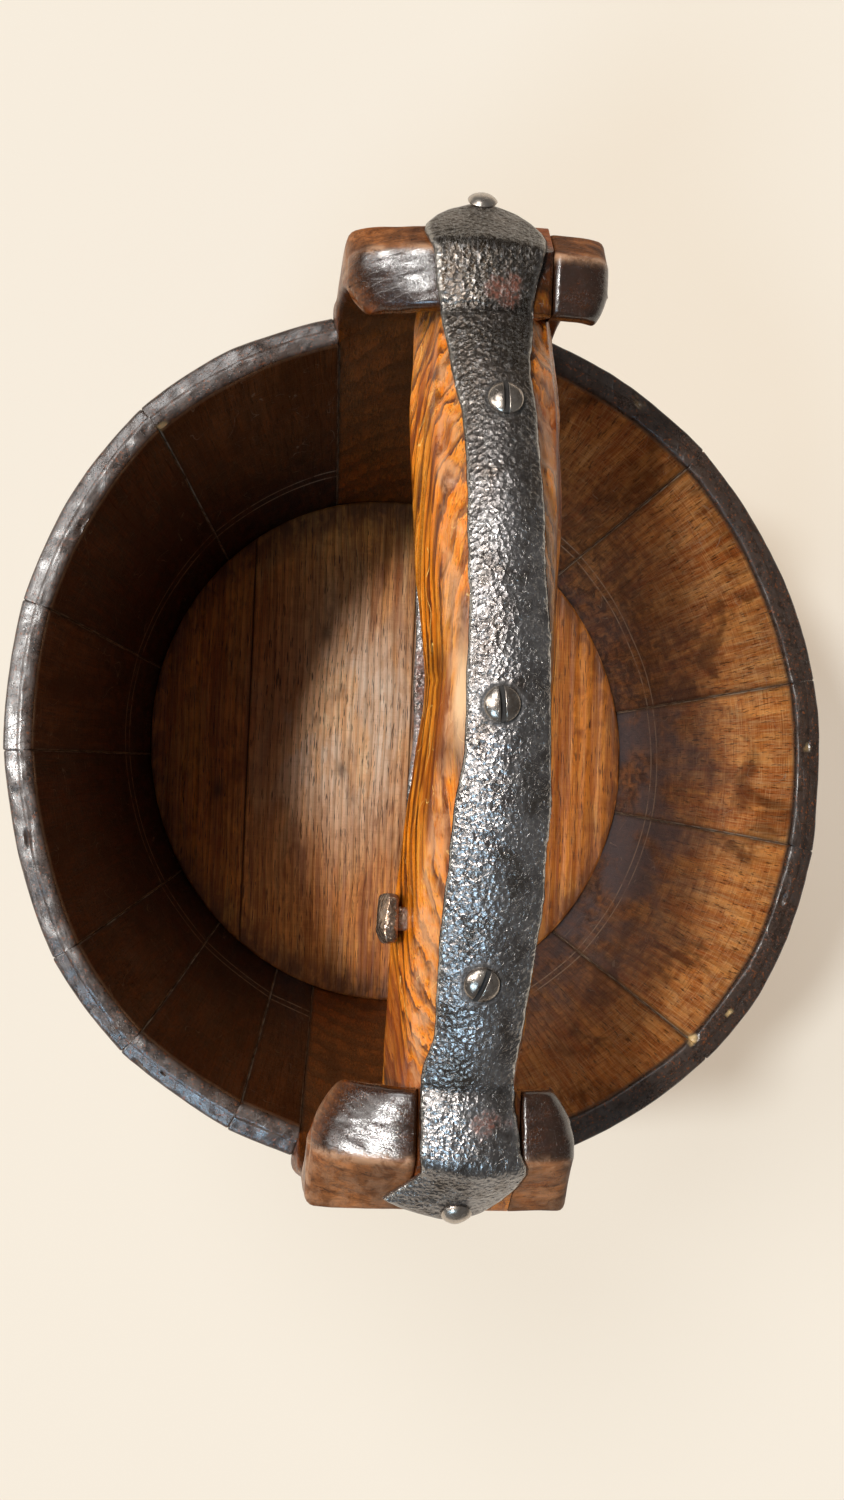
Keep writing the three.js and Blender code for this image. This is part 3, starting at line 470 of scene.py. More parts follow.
def add_ear(node, head, start, stop, finish):
    """A tall stave: its lower part lies in the tub's wall, and above the rim each ring eases over to a flat
    head with a beveled crest. Rings inside the notch stop at its floor, which leaves two horns beside the
    tenon."""
    side, inner = head["side"], head["inner"]
    heights, insets, groove = wall_stations()
    low = heights < rim_height - 5
    heights, insets, groove = heights[low], insets[low], groove[low]
    outside, inside = head_lines(head, 96)
    width = 2 * ear_half_width
    notch = np.array([tenon_x - tenon_half - fit, tenon_x + tenon_half + fit])
    every, round_off, cut, lip_drop = ear_stations(width, np.sort(0.5 - side * notch / width))

    more = np.zeros(len(outside))
    half = len(heights) + len(outside)
    faces = [wall_rings(start, stop, every, np.r_[heights, line[:, 1]], np.r_[insets, more],
                        np.r_[groove, more])
             for line in (outside, inside)]
    tub = np.concatenate([faces[0][:, :half], faces[1][:, half:]], axis=1)
    foot = np.ones(len(heights))
    reach = np.r_[head_foot * foot, outside[:, 0], inside[::-1, 0], inside[0, 0] * foot]
    height = np.r_[heights, outside[:, 1], inside[::-1, 1], heights[::-1]]
    x = -side * (every * 2 - 1) * ear_half_width
    # the inner corners are cut back: the head narrows over a run towards its inner face
    narrow = []
    for deep, run in (head["left_cut"], head["right_cut"]):
        corner_in = 1 - np.clip((reach - inner + 1) / run, 0, 1)
        narrow.append(deep * (0.6 * corner_in + 0.4 * corner_in ** 3))
    right_share = np.clip((x - notch[1]) / (ear_half_width - notch[1]), 0, 1)[:, None]
    left_share = np.clip((notch[0] - x) / (ear_half_width + notch[0]), 0, 1)[:, None]
    plank = spread(x[:, None] + left_share * narrow[0] - right_share * narrow[1], side * reach, height)

    # inside the notch both faces stop at the floor and run in to the middle of the head
    order = np.arange(2 * half)
    in_first = order < half
    for face in (order[in_first & (height > notch_floor)], order[~in_first & (height > notch_floor)][::-1]):
        first_reach = reach[face[0]]
        block = plank[cut]
        outward = np.linspace(0, 1, len(face))
        block[:, face, 1] = side * (first_reach + (outside[-1, 0] - first_reach) * outward)
        block[:, face, 2] = notch_floor
        plank[cut] = block
    ease = smooth(height, rim_height - 2, rim_height + shoulder_rise)[None, :, None]
    rings = tub + (plank - tub) * ease

    # the crest: round ends, a fall from the notch out to the ends, and a top dressed down towards the handle
    corner = 9.0
    off = np.clip((np.abs(x) - (ear_half_width - corner)) / corner, 0, 1)
    ridge = head["outer"] - head["bevel_run"]
    beyond = np.clip(-x - 9, 0, None)
    fall = 0.0115 * np.minimum(beyond, 17) ** 2 + 0.39 * np.clip(beyond - 17, 0, None)
    fall = fall + 1.0 * smooth(x, 24, 38)
    drop = corner * (1 - np.sqrt(1 - off ** 2)) + fall
    dished = head["dish"] * np.clip((ridge - reach) / (ridge - inner), 0, 1) ** 1.2
    horn = np.where(cut, 0.0, 1.0)[:, None]
    rings[..., 2] -= smooth(rings[..., 2], ear_top - head_depth, ear_top) * drop[:, None]
    rings[..., 2] -= horn * smooth(rings[..., 2], ear_top - 18, ear_top - 8) * (dished + lip_drop[:, None])
    scale = 0.16 + 0.84 * smooth(rings[..., 2], rim_height, rim_height + 30)
    rings = toward_pair(rings, round_off[:, None] * scale)
    scales = ((38, 31), (16, 77), (6.5, 55))
    hand, middling, fine = (ripple(rings, size, seed + side) for size, seed in scales)
    free = smooth(rings[..., 2], rim_height + 6, rim_height + 50) * horn
    outward = np.where(in_first, side, -side)
    rings[..., 1] += outward * free * (0.3 * hand + 0.16 * middling + 0.07 * fine - 0.15)
    on_top = smooth(rings[..., 2], ear_top - 24, ear_top - 8)
    rings[..., 2] -= free * on_top * (0.3 + 0.3 * hand + 0.08 * middling + 0.07 * fine)

    z = rings[..., 2]
    values = stave_values(rings, every, width, 900 + side, 0)
    from_ridge = ridge - side * rings[..., 1]
    on_crest = smooth(z, ear_top - 16, ear_top - 9)
    crest = on_crest * smooth(from_ridge, -1.2, 1.2)
    bevel = smooth(from_ridge, 1.2, -1.2) * smooth(z, ear_top - 32, ear_top - 22)
    edge_out = np.clip(round_off / 2.5, 0, 1)[:, None] * smooth(z, rim_height + 8, rim_height + 40)
    # the ridge of the crest is rubbed pale; on the near ear the bevel is painted paler too, as painted light
    # from the lamps on the near side
    rubbed_and_lit = hump(from_ridge, 0, 1.6) * on_crest + (0.3 if side < 0 else 0.0) * bevel
    in_wall = 1 - smooth(z, rim_height - 4, rim_height + 6)
    values.update(grain=rings * [1, side, 1], flank=values["flank"] * in_wall, tone=0.5,
                  crest=crest, bevel=bevel, shine=0.15 + 0.75 * crest,
                  edge=np.clip(edge_out * 0.7 + rubbed_and_lit, 0, 1) * horn)
    make_piece(node, finish, [sweep(rings, values)])


# The bottom

def add_board(number, left, right, finish):
    """A bottom board as rings across its width. At each station the ring runs along the underside, up the far
    tongue, back over the top and down the near tongue. With G the inverse of the oval's map times itself, an
    oval of radius R has its middle at y = -G01 x / G11 and ends sqrt((G01 x)^2 - G11 (G00 x^2 - R^2)) / G11
    away from it."""
    low = board_top - board_thickness
    tongue_low, tongue_high = board_top - board_thickness / 2 + np.array([-tongue_half, tongue_half])
    lip = outer_radius(board_top) - wall - 0.9
    tongue = outer_radius(board_top) - wall + groove_depth - fit
    under = outer_radius(low) - wall - 2.0
    c, s = np.cos(oval_axis), np.sin(oval_axis)
    turn = np.array([[c, -s], [s, c]])
    back = turn @ np.diag([1 / (1 + oval_share), 1 / (1 - oval_share)]) @ turn.T
    shape = back @ back
    shift = foot_shift * (1 - board_top / rim_height)
    limit = 0.995 * tongue * (1 - oval_share * 0.86)
    start, stop = max(left - shift[0], -limit), min(right - shift[0], limit)
    along, pulled = end_steps(stop - start - joint_gap, 0.9, int((stop - start) / 0.85))
    x = start + joint_gap / 2 + along

    def chord(radius):
        inside = (shape[0, 1] * x) ** 2 - shape[1, 1] * (shape[0, 0] * x ** 2 - radius ** 2)
        return (np.sqrt(np.clip(inside, 0, None)) / shape[1, 1])[:, None]

    top_open = np.where(chord(lip) > 0, board_top, tongue_high)
    under_open = np.where(chord(under) > 0, low, tongue_low)
    share = np.linspace(0, 1, 96)[None]
    up_side = [
        (chord(under) * np.sin(share * np.pi / 2), under_open), (chord(tongue), tongue_low),
        (chord(tongue), tongue_high), (chord(lip), tongue_high), (chord(lip), top_open - 0.9),
        (chord(lip - 0.7), top_open - 0.15), (chord(lip - 1.4) * np.cos(share * np.pi / 2), top_open)]
    pairs = [np.broadcast_arrays(*pair) for pair in up_side]
    y, z = (np.concatenate([pair[k] for pair in pairs], axis=1) for k in (0, 1))
    ring_y, ring_z = np.concatenate([y, -y[:, ::-1]], axis=1), there_and_back(z, z)
    middle_y = (-shape[0, 1] * x / shape[1, 1])[:, None]
    rings = spread(x[:, None] + shift[0], middle_y + shift[1] + ring_y, ring_z)
    draw = np.random.default_rng(60 + number)
    top = smooth(rings[..., 2], board_top - 1.2, board_top - 0.1)
    stretched = rings * [1.0, 0.045, 1.0]
    ridges = ripple(stretched, 3.1, 61 + number, 20) * 0.10 + ripple(stretched, 7.0, 81 + number, 16) * 0.14
    cup = 0.35 * ((x - (start + stop) / 2) / (0.5 * (stop - start))) ** 2
    rings[..., 2] += top * (ridges - 0.45 + cup[:, None] * 0.5 - draw.uniform(0, 0.25))
    rings[..., 2] -= top * pulled[:, None] * 0.9
    grain = spread((x - start)[:, None], ring_z, ring_y) + draw.uniform(0, 400, 3)
    away = np.hypot(x[:, None], ring_y) / lip
    near_joint = 0.8 * np.exp(-np.minimum(x - start, stop - x))[:, None]
    at_x, at_y = rings[..., 0], rings[..., 1]
    # a pale patch painted on the bottom's lit centre, where the key light and its sheen fall, laid over the
    # boards' own tone
    scrubbed_and_sheen = 1.3 * hump(at_x, -18, 36) * hump(at_y, 14, 52)
    spots = sum(0.7 * hump(at_x, x, reach) * hump(at_y, y, 1.6 * reach) for x, y, reach in board_spots)
    values = dict(grain=grain, tone=np.clip(board_tones[number - 1] + scrubbed_and_sheen, 0, 1), spot=spots,
                  flank=near_joint * (chord(lip) > 20), border=smooth(away, 0.86, 1.0), shine=0.45)
    make_piece(f"bottom_board_{number}", finish, [sweep(rings, values)])


# The handle bar

def arch_height(y):
    return handle_crown - handle_rise * ((y - span_middle) / span_half) ** 2


def arch_normal(y):
    """Unit normal of the arch in (y, z), pointing up."""
    slope = -2 * handle_rise * (y - span_middle) / span_half ** 2
    return np.stack([-slope, np.ones_like(slope)], -1) / np.hypot(1, slope)[..., None]


def bar_half(table, y):
    """Half width of the bar on one side along Y: a table of stations, eased by a mean over 8 mm either
    way."""
    return np.mean([np.interp(y + shift, *table.T) for shift in np.linspace(-8, 8, 17)], axis=0)


def strap_share(x, y):
    """Where a point lies across the strap, from -1 at its left edge to 1 at its right edge."""
    left, right = np.interp(y, *strap_left.T), np.interp(y, *strap_right.T)
    return (x - (left + right) / 2) / ((right - left) / 2)


def half_section(count):
    """Right half of the bar's section from the middle of the underside to the middle of the top, as (share
    of half width, depth below the top): round underside, side that leans in to an arris, carved shoulder,
    flat top."""
    line = np.array([[0, -handle_depth], [17, -44], [21.5, -42.6], [24, -39], [24.6, -33], [18.9, -9.2],
                     [18.0, -7.6], [15.6, -3.6], [12.6, -1.2], [6, -0.1], [0, 0]])
    widest = line[:, 0].max()
    return resample(soften(line, 1.0), count) / [widest, 1]


def tenon_ring(head, share, count):
    """A ring of the tenon at a share of its length, between the head's inner face and the tenon's own end,
    which carries the head's bevel on and is rounded in plan where it stands proud."""
    proud = head["proud"]
    end = dict(head, outer=head["outer"] + proud, bevel_run=head["bevel_run"] + proud)
    end["bevel_drop"] = end["bevel_run"] * head["bevel_drop"] / head["bevel_run"]
    floor, top = notch_floor + fit, ear_top - 1.3
    right = np.array([[0, floor], [tenon_half - 0.8, floor], [tenon_half, floor + 0.8],
                      [tenon_half, top - 0.9], [tenon_half - 0.9, top], [0, top]])
    right = resample(right, count)
    ring = np.concatenate([right, right[::-1] * [-1, 1]])
    in_at = face_at(head_lines(head, 160)[1], ring[:, 1]) - fit - 0.1
    rounded = end["outer"] - 0.6 * proud * (ring[:, 0] / tenon_half) ** 2
    out_at = np.minimum(face_at(head_lines(end, 160)[0], ring[:, 1]), rounded) - 0.3
    reach = in_at + (out_at - in_at) * share
    return spread(tenon_x + ring[:, 0], head["side"] * reach, ring[:, 1])


def plain_bar(count):
    """The bar before it is carved: its section carried along the arch, with both ends leaning as the faces
    of the heads do that they butt against. Gives its rings, depths below the top, and how far each ring is
    pulled in."""
    section = half_section(count)
    near_end, far_end = -near_head["inner"], far_head["inner"]
    along, pulled = end_steps(far_end - near_end, 1.6, 250)
    y = near_end + along
    deeper = 1 + 0.045 * ((y - span_middle) / span_half) ** 2
    x = np.concatenate([section[:, 0] * bar_half(bar_right, y)[:, None],
                        -section[::-1, 0] * bar_half(bar_left, y)[:, None]], axis=1)
    below = np.r_[section[:, 1], section[::-1, 1]] * deeper[:, None]
    level = arch_height(y)[:, None] + below
    share = ((y - near_end) / (far_end - near_end))[:, None]
    near_more, far_more = (face_at(head_lines(head, 160)[1], level) - head["inner"] - fit - 0.4
                           for head in (near_head, far_head))
    station = y[:, None] - near_more * (1 - share) ** 5 + far_more * share ** 5
    return spread(handle_x + x, station, arch_height(station) + below), -below, pulled


def carve(bar, deep):
    """Knife and draw knife on the bar: waves on its shoulders and sides, a pale scoop, a nick and a knot.
    Gives the marks that the finish reads."""
    left = np.arange(bar.shape[1]) >= bar.shape[1] // 2
    side_sign = np.where(left, -1.0, 1.0)
    shoulder = smooth(deep, 0.4, 2.2) * (1 - smooth(deep, 7.6, 9.4))
    sides = smooth(deep, 12, 16) * (1 - smooth(deep, 36, 42))
    cuts = ripple(bar * [1.0, 1.0, 0.6], 17, 5) + 0.5 * ripple(bar * [1.3, 1.0, 0.8], 8, 6)
    calm = 0.4 + 0.6 * smooth(np.abs(bar[..., 1] - span_middle), 30, 70)
    bar[..., 0] -= side_sign * shoulder * (0.35 * cuts + 0.2) * calm
    bar[..., 2] -= shoulder * (0.5 * cuts + 0.5) * calm
    strokes = ripple(bar * [1.0, 0.1, 1.0], 4.0, 8)
    bar[..., 0] -= side_sign * sides * (0.25 * strokes + 0.25 * ripple(bar, 30, 12) + 0.15)
    scoop = hump(bar[..., 1], 11, 13) * hump(bar[..., 0], -3.9, 2.6) * smooth(-deep, -8, -2)
    bar[..., 2] -= 1.1 * scoop
    x, y, z = np.moveaxis(bar, -1, 0)
    knot = hump(y, -52, 3.2) * hump(z, 366, 2.6) * left
    smudge = 0.6 * hump(y, -7, 6) * hump(x, -7.5, 3.5) + 0.5 * hump(y, 21, 5) * hump(x, -10.5, 3.0)
    nick = hump(y, 16, 2.0) * hump(deep, 21, 9) * left
    marks = dict(shoulder=shoulder, fresh=np.clip(scoop * 1.3, 0, 1), shine=-0.27 * sides,
                 knot=np.clip(knot + smudge, 0, 1))
    bar[..., 0] += 0.5 * nick + 0.3 * knot
    # the top is a little hollow where the strap beds on it
    under = np.clip(strap_share(bar[..., 0], bar[..., 1]) ** 2, 0, 1.25)
    bar[..., 2] -= 2.1 * under * (1 - smooth(deep, 3, 15))
    return marks


def add_handle_bar(finish):
    """The carved bar between its two tenons, as rings along Y."""
    count = 62
    bar, deep, pulled = plain_bar(count)
    marks = carve(bar, deep)
    bar = toward_pair(bar, (pulled * 0.5)[:, None])
    shares = (0.0, 0.3, 0.5, 0.66, 0.8, 0.93, 1.0)
    near_tenon = np.stack([tenon_ring(near_head, share, count) for share in shares[::-1]])
    far_tenon = np.stack([tenon_ring(far_head, share, count) for share in shares])
    rings = np.concatenate([near_tenon, near_tenon[-1:], bar, far_tenon[:1], far_tenon])
    lead = len(shares) + 1
    values = {key: np.pad(value, ((lead, lead), (0, 0))) for key, value in marks.items()}
    in_ear = np.pad(np.zeros(len(bar)), lead, constant_values=1)[:, None]
    on_top = smooth(rings[..., 2], ear_top - 7, ear_top - 3)
    dip = 0.0012 * (rings[..., 1] - span_middle) ** 2
    # on the tenons inside the ears the top takes the near black crest colour: painted shade of the gaps
    # beside the strap; the sides take the bevel colour
    values.update(grain=spread(rings[..., 0], rings[..., 2] - dip, rings[..., 1]),
                  shine=0.35 + values["shine"], tone=0.5, crest=in_ear * on_top, bevel=in_ear * (1 - on_top))
    make_piece("handle_bar", finish, [sweep(rings, values)], sharp=34)


# Ironwork

def strap_line(step):
    """Points of the line that the strap lies on, at equal steps: up the near head's bevel, over its ridge,
    along the arch and down the far bevel past the proud end of the tenon."""
    def over(head):
        run = head["bevel_run"] + head["proud"]
        ridge = np.array([head["outer"] - head["bevel_run"], ear_top])
        slope = np.array([run, -run * head["bevel_drop"] / head["bevel_run"]])
        return np.array([ridge + slope * (1 + 9 / run), ridge, [head["inner"] + 3, ear_top]])

    y = np.linspace(3 - near_head["inner"], far_head["inner"] - 3, 60)
    line = np.concatenate([over(near_head) * [-1, 1], spread(y, arch_height(y)), over(far_head)[::-1]])
    line = soften(line, 3.2, step)
    outside = line[:, 0] + (strap_thickness + 0.4) * normals_of(line)[:, 0]
    return line[(outside > strap_left[0, 0]) & (outside < strap_left[-1, 0])]


def normals_of(line):
    """Unit normals to the left of a (y, z) line that runs towards +Y, so they point up and out."""
    tangent = unit(np.gradient(line, axis=0))
    return np.stack([-tangent[:, 1], tangent[:, 0]], 1)


def laid_along(line, normal, wide, height):
    """Points of a flat bar laid on a (y, z) line: across it in X, and off it along its normals."""
    return spread(wide, line[:, :1] + height * normal[:, :1], line[:, 1:] + height * normal[:, 1:])


def dents(u, v, count, u_range, v_range, size, depth, seed):
    """Sum of shallow round hammer marks at random places of a (u, v) sheet."""
    draw = np.random.default_rng(seed)
    total = np.zeros(u.shape)
    for _ in range(count):
        at_u, at_v = draw.uniform(*u_range), draw.uniform(*v_range)
        reach = size * draw.uniform(0.6, 1.5)
        away = ((u - at_u) ** 2 + (v - at_v) ** 2) / reach ** 2
        total += depth * draw.uniform(0.4, 1.0) * np.clip(1 - away, 0, 1) ** 1.5
    return total


def band_section(count, half, thick, crown, edge):
    """Top and bottom of a flat bar's section as arrays from left to right. The top rises by crown from its
    edges to its middle along a parabola, and its edges are eased over edge."""
    turn = np.sin(np.linspace(-np.pi / 2, np.pi / 2, count))
    u = turn * (0.55 + 0.45 * np.abs(turn))
    from_edge = (1 - np.abs(u)) * half
    ease = np.sqrt(np.clip(1 - np.clip(1 - from_edge / edge, 0, 1) ** 2, 0, 1))
    middle = (thick - crown) * 0.45
    top = middle + ease * (thick - crown - middle) + crown * (1 - u ** 2)
    return u, top, middle * (1 - ease)


def edge_of(u, low, high):
    """The edges of a flat bar's two faces, from its places across."""
    return np.tile(smooth(np.abs(u), low, high), 2)


def add_strap(finish):
    """The strap as rings along its line: uneven edges, a crown that sags to the sides, hammer marks and
    bends."""
    line = strap_line(0.75)
    normal, along = normals_of(line), steps_along(line)
    total = along[-1]
    y = line[:, :1]
    outside = line[:, 0] + (strap_thickness + 0.4) * normal[:, 0]
    track = spread(along, 0, 0)
    ends = smooth(along, 10, 30) * smooth(total - along, 10, 30)
    left, right = np.interp(outside, *strap_left.T), np.interp(outside, *strap_right.T)
    left += ends * (0.22 * ripple(track, 21, 21) + 0.1 * ripple(track, 6, 22)) + 0.5 * hump(along, 12, 2.5)
    right += ends * (0.22 * ripple(track, 23, 23) + 0.1 * ripple(track, 6, 24))
    middle, half = ((left + right) / 2)[:, None], np.maximum((right - left) / 2, 0.05)[:, None]
    u, top, bottom = band_section(45, 13.0, 3.4, 1.5, 0.9)
    head_top = band_section(45, 13.0, 3.6, 1.5, 0.9)[1]
    over_head = smooth(y, 132, 150) + smooth(-y, 112, 130)
    top = top * (1 - over_head) + head_top * over_head
    sag = 2.0 * u ** 2 * (1 - 0.6 * over_head)
    x = middle + half * u
    s = along[:, None] + 0 * x
    sheet = spread(x, s, 0)
    beaten = sum(dents(s, x, count, (0, total), (-20, 28), size, depth, seed)
                 for count, size, depth, seed in ((1900, 2.0, 0.07, 31), (160, 6.0, 0.06, 33)))
    wavy = 0.2 * ripple(sheet, 34, 25) + 0.03 * ripple(sheet, 8, 26)
    bend = hump(y, 134.0, 2.0) + hump(y, -111.5, 2.0)
    fold = hump(y, far_head["outer"] - 10, 2.4) + hump(y, 20 - near_head["outer"], 2.4)
    edge_thin = smooth(np.abs(u), 0.8, 1.0)
    upper = fit + top + wavy - sag - beaten * (1 - 0.6 * edge_thin) - 0.7 * bend
    lower = fit + bottom - sag + 0.3 * wavy
    upper = np.maximum(upper, lower + 0.6)
    core, shut = 0.5 * (upper + lower), np.clip(half / 12.0, 0.25, 1)
    height = there_and_back(core + (upper - core) * shut, core + (lower - core) * shut)
    wide = there_and_back(x, x)
    at_end = 1 - smooth(np.minimum(along, total - along), 0.5, 2.0)[:, None]
    # a dark ring painted round each screw head: painted contact shadow
    screw_shade_rings = sum(hump(np.hypot(x - at_x, y - at_y), 5.9, 0.6) for at_x, at_y, turn in screw_places)
    patch = hump(y, 141, 8) * hump(x, 9, 10) + hump(y, -121, 7) * hump(x, 13, 10)
    values = dict(grain=spread(wide + 300, height, along[:, None]),
                  edge=np.maximum(edge_of(u, 0.88, 0.97), at_end),
                  low=on_first(np.clip(beaten * 5, 0, 1)), painted_shade=on_first(np.clip(screw_shade_rings, 0, 1)),
                  bend=bend + 0.5 * fold, rusty=on_first(patch), warm=smooth(y, 50, 115))
    make_piece("handle_strap", finish, [sweep(laid_along(line, normal, wide, height), values)], sharp=50)


def add_under_strap(finish):
    """A flat bar that follows the underside of the arch at the bar's depth."""
    y = np.linspace(*under_strap_ends, 300)
    normal = arch_normal(y)
    line = spread(y, arch_height(y)) - normal * (handle_depth + 2 * fit)
    u, top, bottom = band_section(25, under_strap_half, under_strap_thickness, 0.5, 1.0)
    half = under_strap_half + 0.5 * ripple(spread(y, 0, 0), 33, 41) - 0.7
    x = under_strap_x + half[:, None] * u
    sheet = spread(x, y[:, None], 0)
    wavy = 0.12 * ripple(sheet, 20, 42) + 0.1 * ripple(sheet, 7, 43)
    height = there_and_back(-bottom, wavy - top)
    wide = there_and_back(x, x)
    # low=1.2 lays the hollows' dark colour over the whole bar: painted shade for a bar under the handle, on
    # top of its rust
    values = dict(grain=spread(wide + 700, height, y[:, None]), edge=0.2 * edge_of(u, 0.86, 0.98),
                  low=1.2, rusty=0.6)
    make_piece("under_strap", finish, [sweep(laid_along(line, normal, wide, height), values)], sharp=50)


def lathe(profile, around=28, seed=0, rough=0.0):
    """Rings of a turned body from (radius, height) pairs, a little out of round where rough is set."""
    line = np.asarray(profile, float)
    turn = np.arange(around) * 2 * np.pi / around + np.pi / around
    rings = spread(line[:, :1] * np.cos(turn), line[:, :1] * np.sin(turn), line[:, 1:])
    share = smooth(rings[..., 2], -0.2, 0.4)
    return rings * (1 + rough * share * ripple(rings, 6, seed))[..., None]


def eased_profile(profile, count, rounds=2):
    return resample(ease_corners(np.array(profile, float), rounds), count)


def spun(rings, turn):
    """Rings turned round +Z by an angle in degrees."""
    c, s = np.cos(np.radians(turn)), np.sin(np.radians(turn))
    return rings @ np.array([[c, s, 0], [-s, c, 0], [0, 0, 1]])


def placed(rings, at, out):
    """Rings drawn round +Z with their seat at the origin, moved to a point with +Z along out. The turn is the
    shortest one, as a rotation about the cross product of +Z and out."""
    hinge = np.cross([0, 0, 1], out)
    sine, cosine = np.linalg.norm(hinge), out[2]
    hinge = hinge / sine
    dot = (rings @ hinge)[..., None] * hinge
    return rings * cosine + np.cross(hinge, rings) * sine + dot * (1 - cosine) + at


def add_fastener(node, finish, rings, at, out, offset, sharp=38.0):
    out = unit(np.array(out, float))
    make_piece(node, finish, [sweep(placed(rings, at, out), dict(grain=rings + offset))], sharp)


def screw_head(radius, rise, slot_half, slot_deep):
    """Rings across a domed head: each station's ring runs over the dome and back under it. Stations inside
    the slot run level at its floor."""
    side = radius * (1 - np.cos(np.linspace(0, np.pi / 2, 15)))
    left = -radius + side * (radius - slot_half - 0.35) / radius
    lip = -slot_half - np.array([0.2, 0.05, 0.0, 0.0])
    x = np.r_[left, lip, -0.3, 0.0, 0.3, -lip[::-1], -left[::-1]]
    station = np.arange(len(x)) - len(left)
    inside = (station >= 3) & (station < 8)
    drop = np.interp(np.abs(station - 5), [2, 3, 4, 5, 6], [0, 0.3, 0.16, 0.04, 0])
    chord = np.sqrt(np.clip(radius ** 2 - x ** 2, 0, None))
    y = chord[:, None] * np.sin(np.linspace(-np.pi / 2, np.pi / 2, 27))
    away = np.clip(np.hypot(x[:, None], y) / radius, 0, 1)
    dome = 0.9 + (rise - 0.9) * np.clip(1 - away ** 2.2, 0, 1) ** 0.7
    top = np.where(inside[:, None], np.minimum(rise - slot_deep, dome - 0.05), dome - drop[:, None])
    return spread(x[:, None], there_and_back(y, y), there_and_back(top, -0.3))


def arch_spot(x, y, lift):
    """A point over the arch at a height along its normal, and that normal."""
    out = np.r_[0.0, arch_normal(np.float64(y))]
    return np.array([x, y, arch_height(y)]) + out * lift, out


def add_screws(finish):
    shank = lathe([[0, -23], [0.9, -22], [2.1, -18], [2.1, -0.4], [0, -0.4]], 16)
    for i, (x, y, turn) in enumerate(screw_places):
        at, out = arch_spot(x, y, strap_thickness + 0.35)
        plain = screw_head(5.5, 2.9, 0.75, 1.7)
        head = spun(plain, turn)
        # the slot is painted near black: painted shade in it
        in_slot = smooth(np.abs(plain[..., 0]), 0.95, 0.8)
        shells = [sweep(placed(rings, at, out), dict(grain=rings + 50 * i, painted_shade=painted_shade))
                  for rings, painted_shade in ((head, in_slot), (shank, 0))]
        make_piece(f"strap_screw_{i + 1}", finish, shells)


def add_nails(finish):
    nail = eased_profile([[0, -27], [0.7, -26.5], [1.8, -22], [1.8, -0.2], [1.8, 0], [4.9, 0], [4.9, 0.9],
                          [3.3, 2.2], [1.2, 2.7], [0, 2.75]], 60)
    for end, head, x, rise in (("far", far_head, 1.3, 1.5), ("near", near_head, 5.5, 6.0)):
        side, run = head["side"], head["bevel_run"] + head["proud"]
        steep = head["bevel_drop"] / head["bevel_run"]
        slope, across = unit(np.array([[1, -steep], [steep, 1]]))
        foot = np.array([head["outer"] + head["proud"], ear_top - run * steep])
        spot = foot - slope * rise + across * (strap_thickness + 0.45)
        add_fastener(f"strap_nail_{end}", finish, lathe(nail, 26, 5, 0.03),
                     [x, side * (spot[0] - 0.03), spot[1]],
                     [0, side * across[0], across[1]], 300)


def add_tacks(finish):
    tack = [[0, -12], [0.6, -11.6], [1.7, -9], [1.7, 0], [4.3, 0], [4.3, 0.6], [2.6, 1.9], [0, 2.3]]
    tack = eased_profile(tack, 44)
    for i, y in enumerate(tack_places):
        at, out = arch_spot(under_strap_x, y, -handle_depth - under_strap_thickness - 2 * fit)
        add_fastener(f"under_strap_tack_{i + 1}", finish, lathe(tack, 24, 8 + i, 0.03), at, -out,
                     400 + 30 * i)


def add_spike(finish):
    """A square spike driven in from the left: a faceted head, flats meeting at blunt edges, on a square
    shank."""
    profile = eased_profile([[0, -31], [1.4, -30], [3.7, -16], [3.7, -0.2], [3.8, 0], [6.9, 0], [7.7, 0.5],
                             [7.8, 4.6], [7.3, 5.6], [6.2, 6.1], [0, 6.2]], 64, 1)
    rings = lathe(profile, 48)
    turn = np.arctan2(rings[..., 1], rings[..., 0])
    rings[..., :2] /= ((np.abs(np.cos(turn)) ** 7 + np.abs(np.sin(turn)) ** 7) ** (1 / 7))[..., None]
    face = smooth(rings[..., 2], 1.0, 3.0)
    for a, b, keep in ((0.5, 0.2, 1.3), (-0.55, 0.35, 0.9), (0.1, -0.6, 1.1), (-0.2, -0.3, 0.4)):
        over = np.clip(rings @ [a, b, 1.0] - 8.6 + keep * 0.6, 0, None)
        rings[..., 2] -= face * over * 0.8
    x, y, below = -18.2, -59.5, 24
    add_fastener("handle_spike", finish, spun(rings, 7), [x, y, arch_height(y) - below], [-1, 0, 0], 900, 20)


def add_hoop(name, low, lap, finish):
    """An open band once round the tub and on over its own start, where the outer end is lifted by its
    thickness."""
    reach = 6.0
    bearing = np.linspace(lap - reach, lap + 360 + reach, 380)
    lift = (hoop_thickness + 0.2) * smooth(bearing, lap + 360 - reach - 7, lap + 360 - reach - 0.5)[:, None]
    angle = round_angle(bearing)[:, None]
    u, top, bottom = band_section(21, hoop_width / 2, hoop_thickness, 0.4, 0.8)
    z = low + hoop_width / 2 + (hoop_width / 2 - 0.25) * u
    around = angle * 165
    sheet = spread(around, z, 0)
    wavy = 0.16 * ripple(sheet, 30, 51) + 0.1 * ripple(sheet, 8, 52) - 0.25
    off = there_and_back(fit + top + wavy + lift, fit + bottom + lift)
    height = np.r_[z, z[::-1]]
    radius = outer_radius(height) + off
    rings = oval(spread(radius * np.cos(angle), radius * np.sin(angle), height))
    values = dict(grain=spread(height + 1200 + low, off, around), edge=0.6 * edge_of(u, 0.9, 1.0), warm=0.8)
    make_piece(name, finish, [sweep(rings, values)], sharp=50)


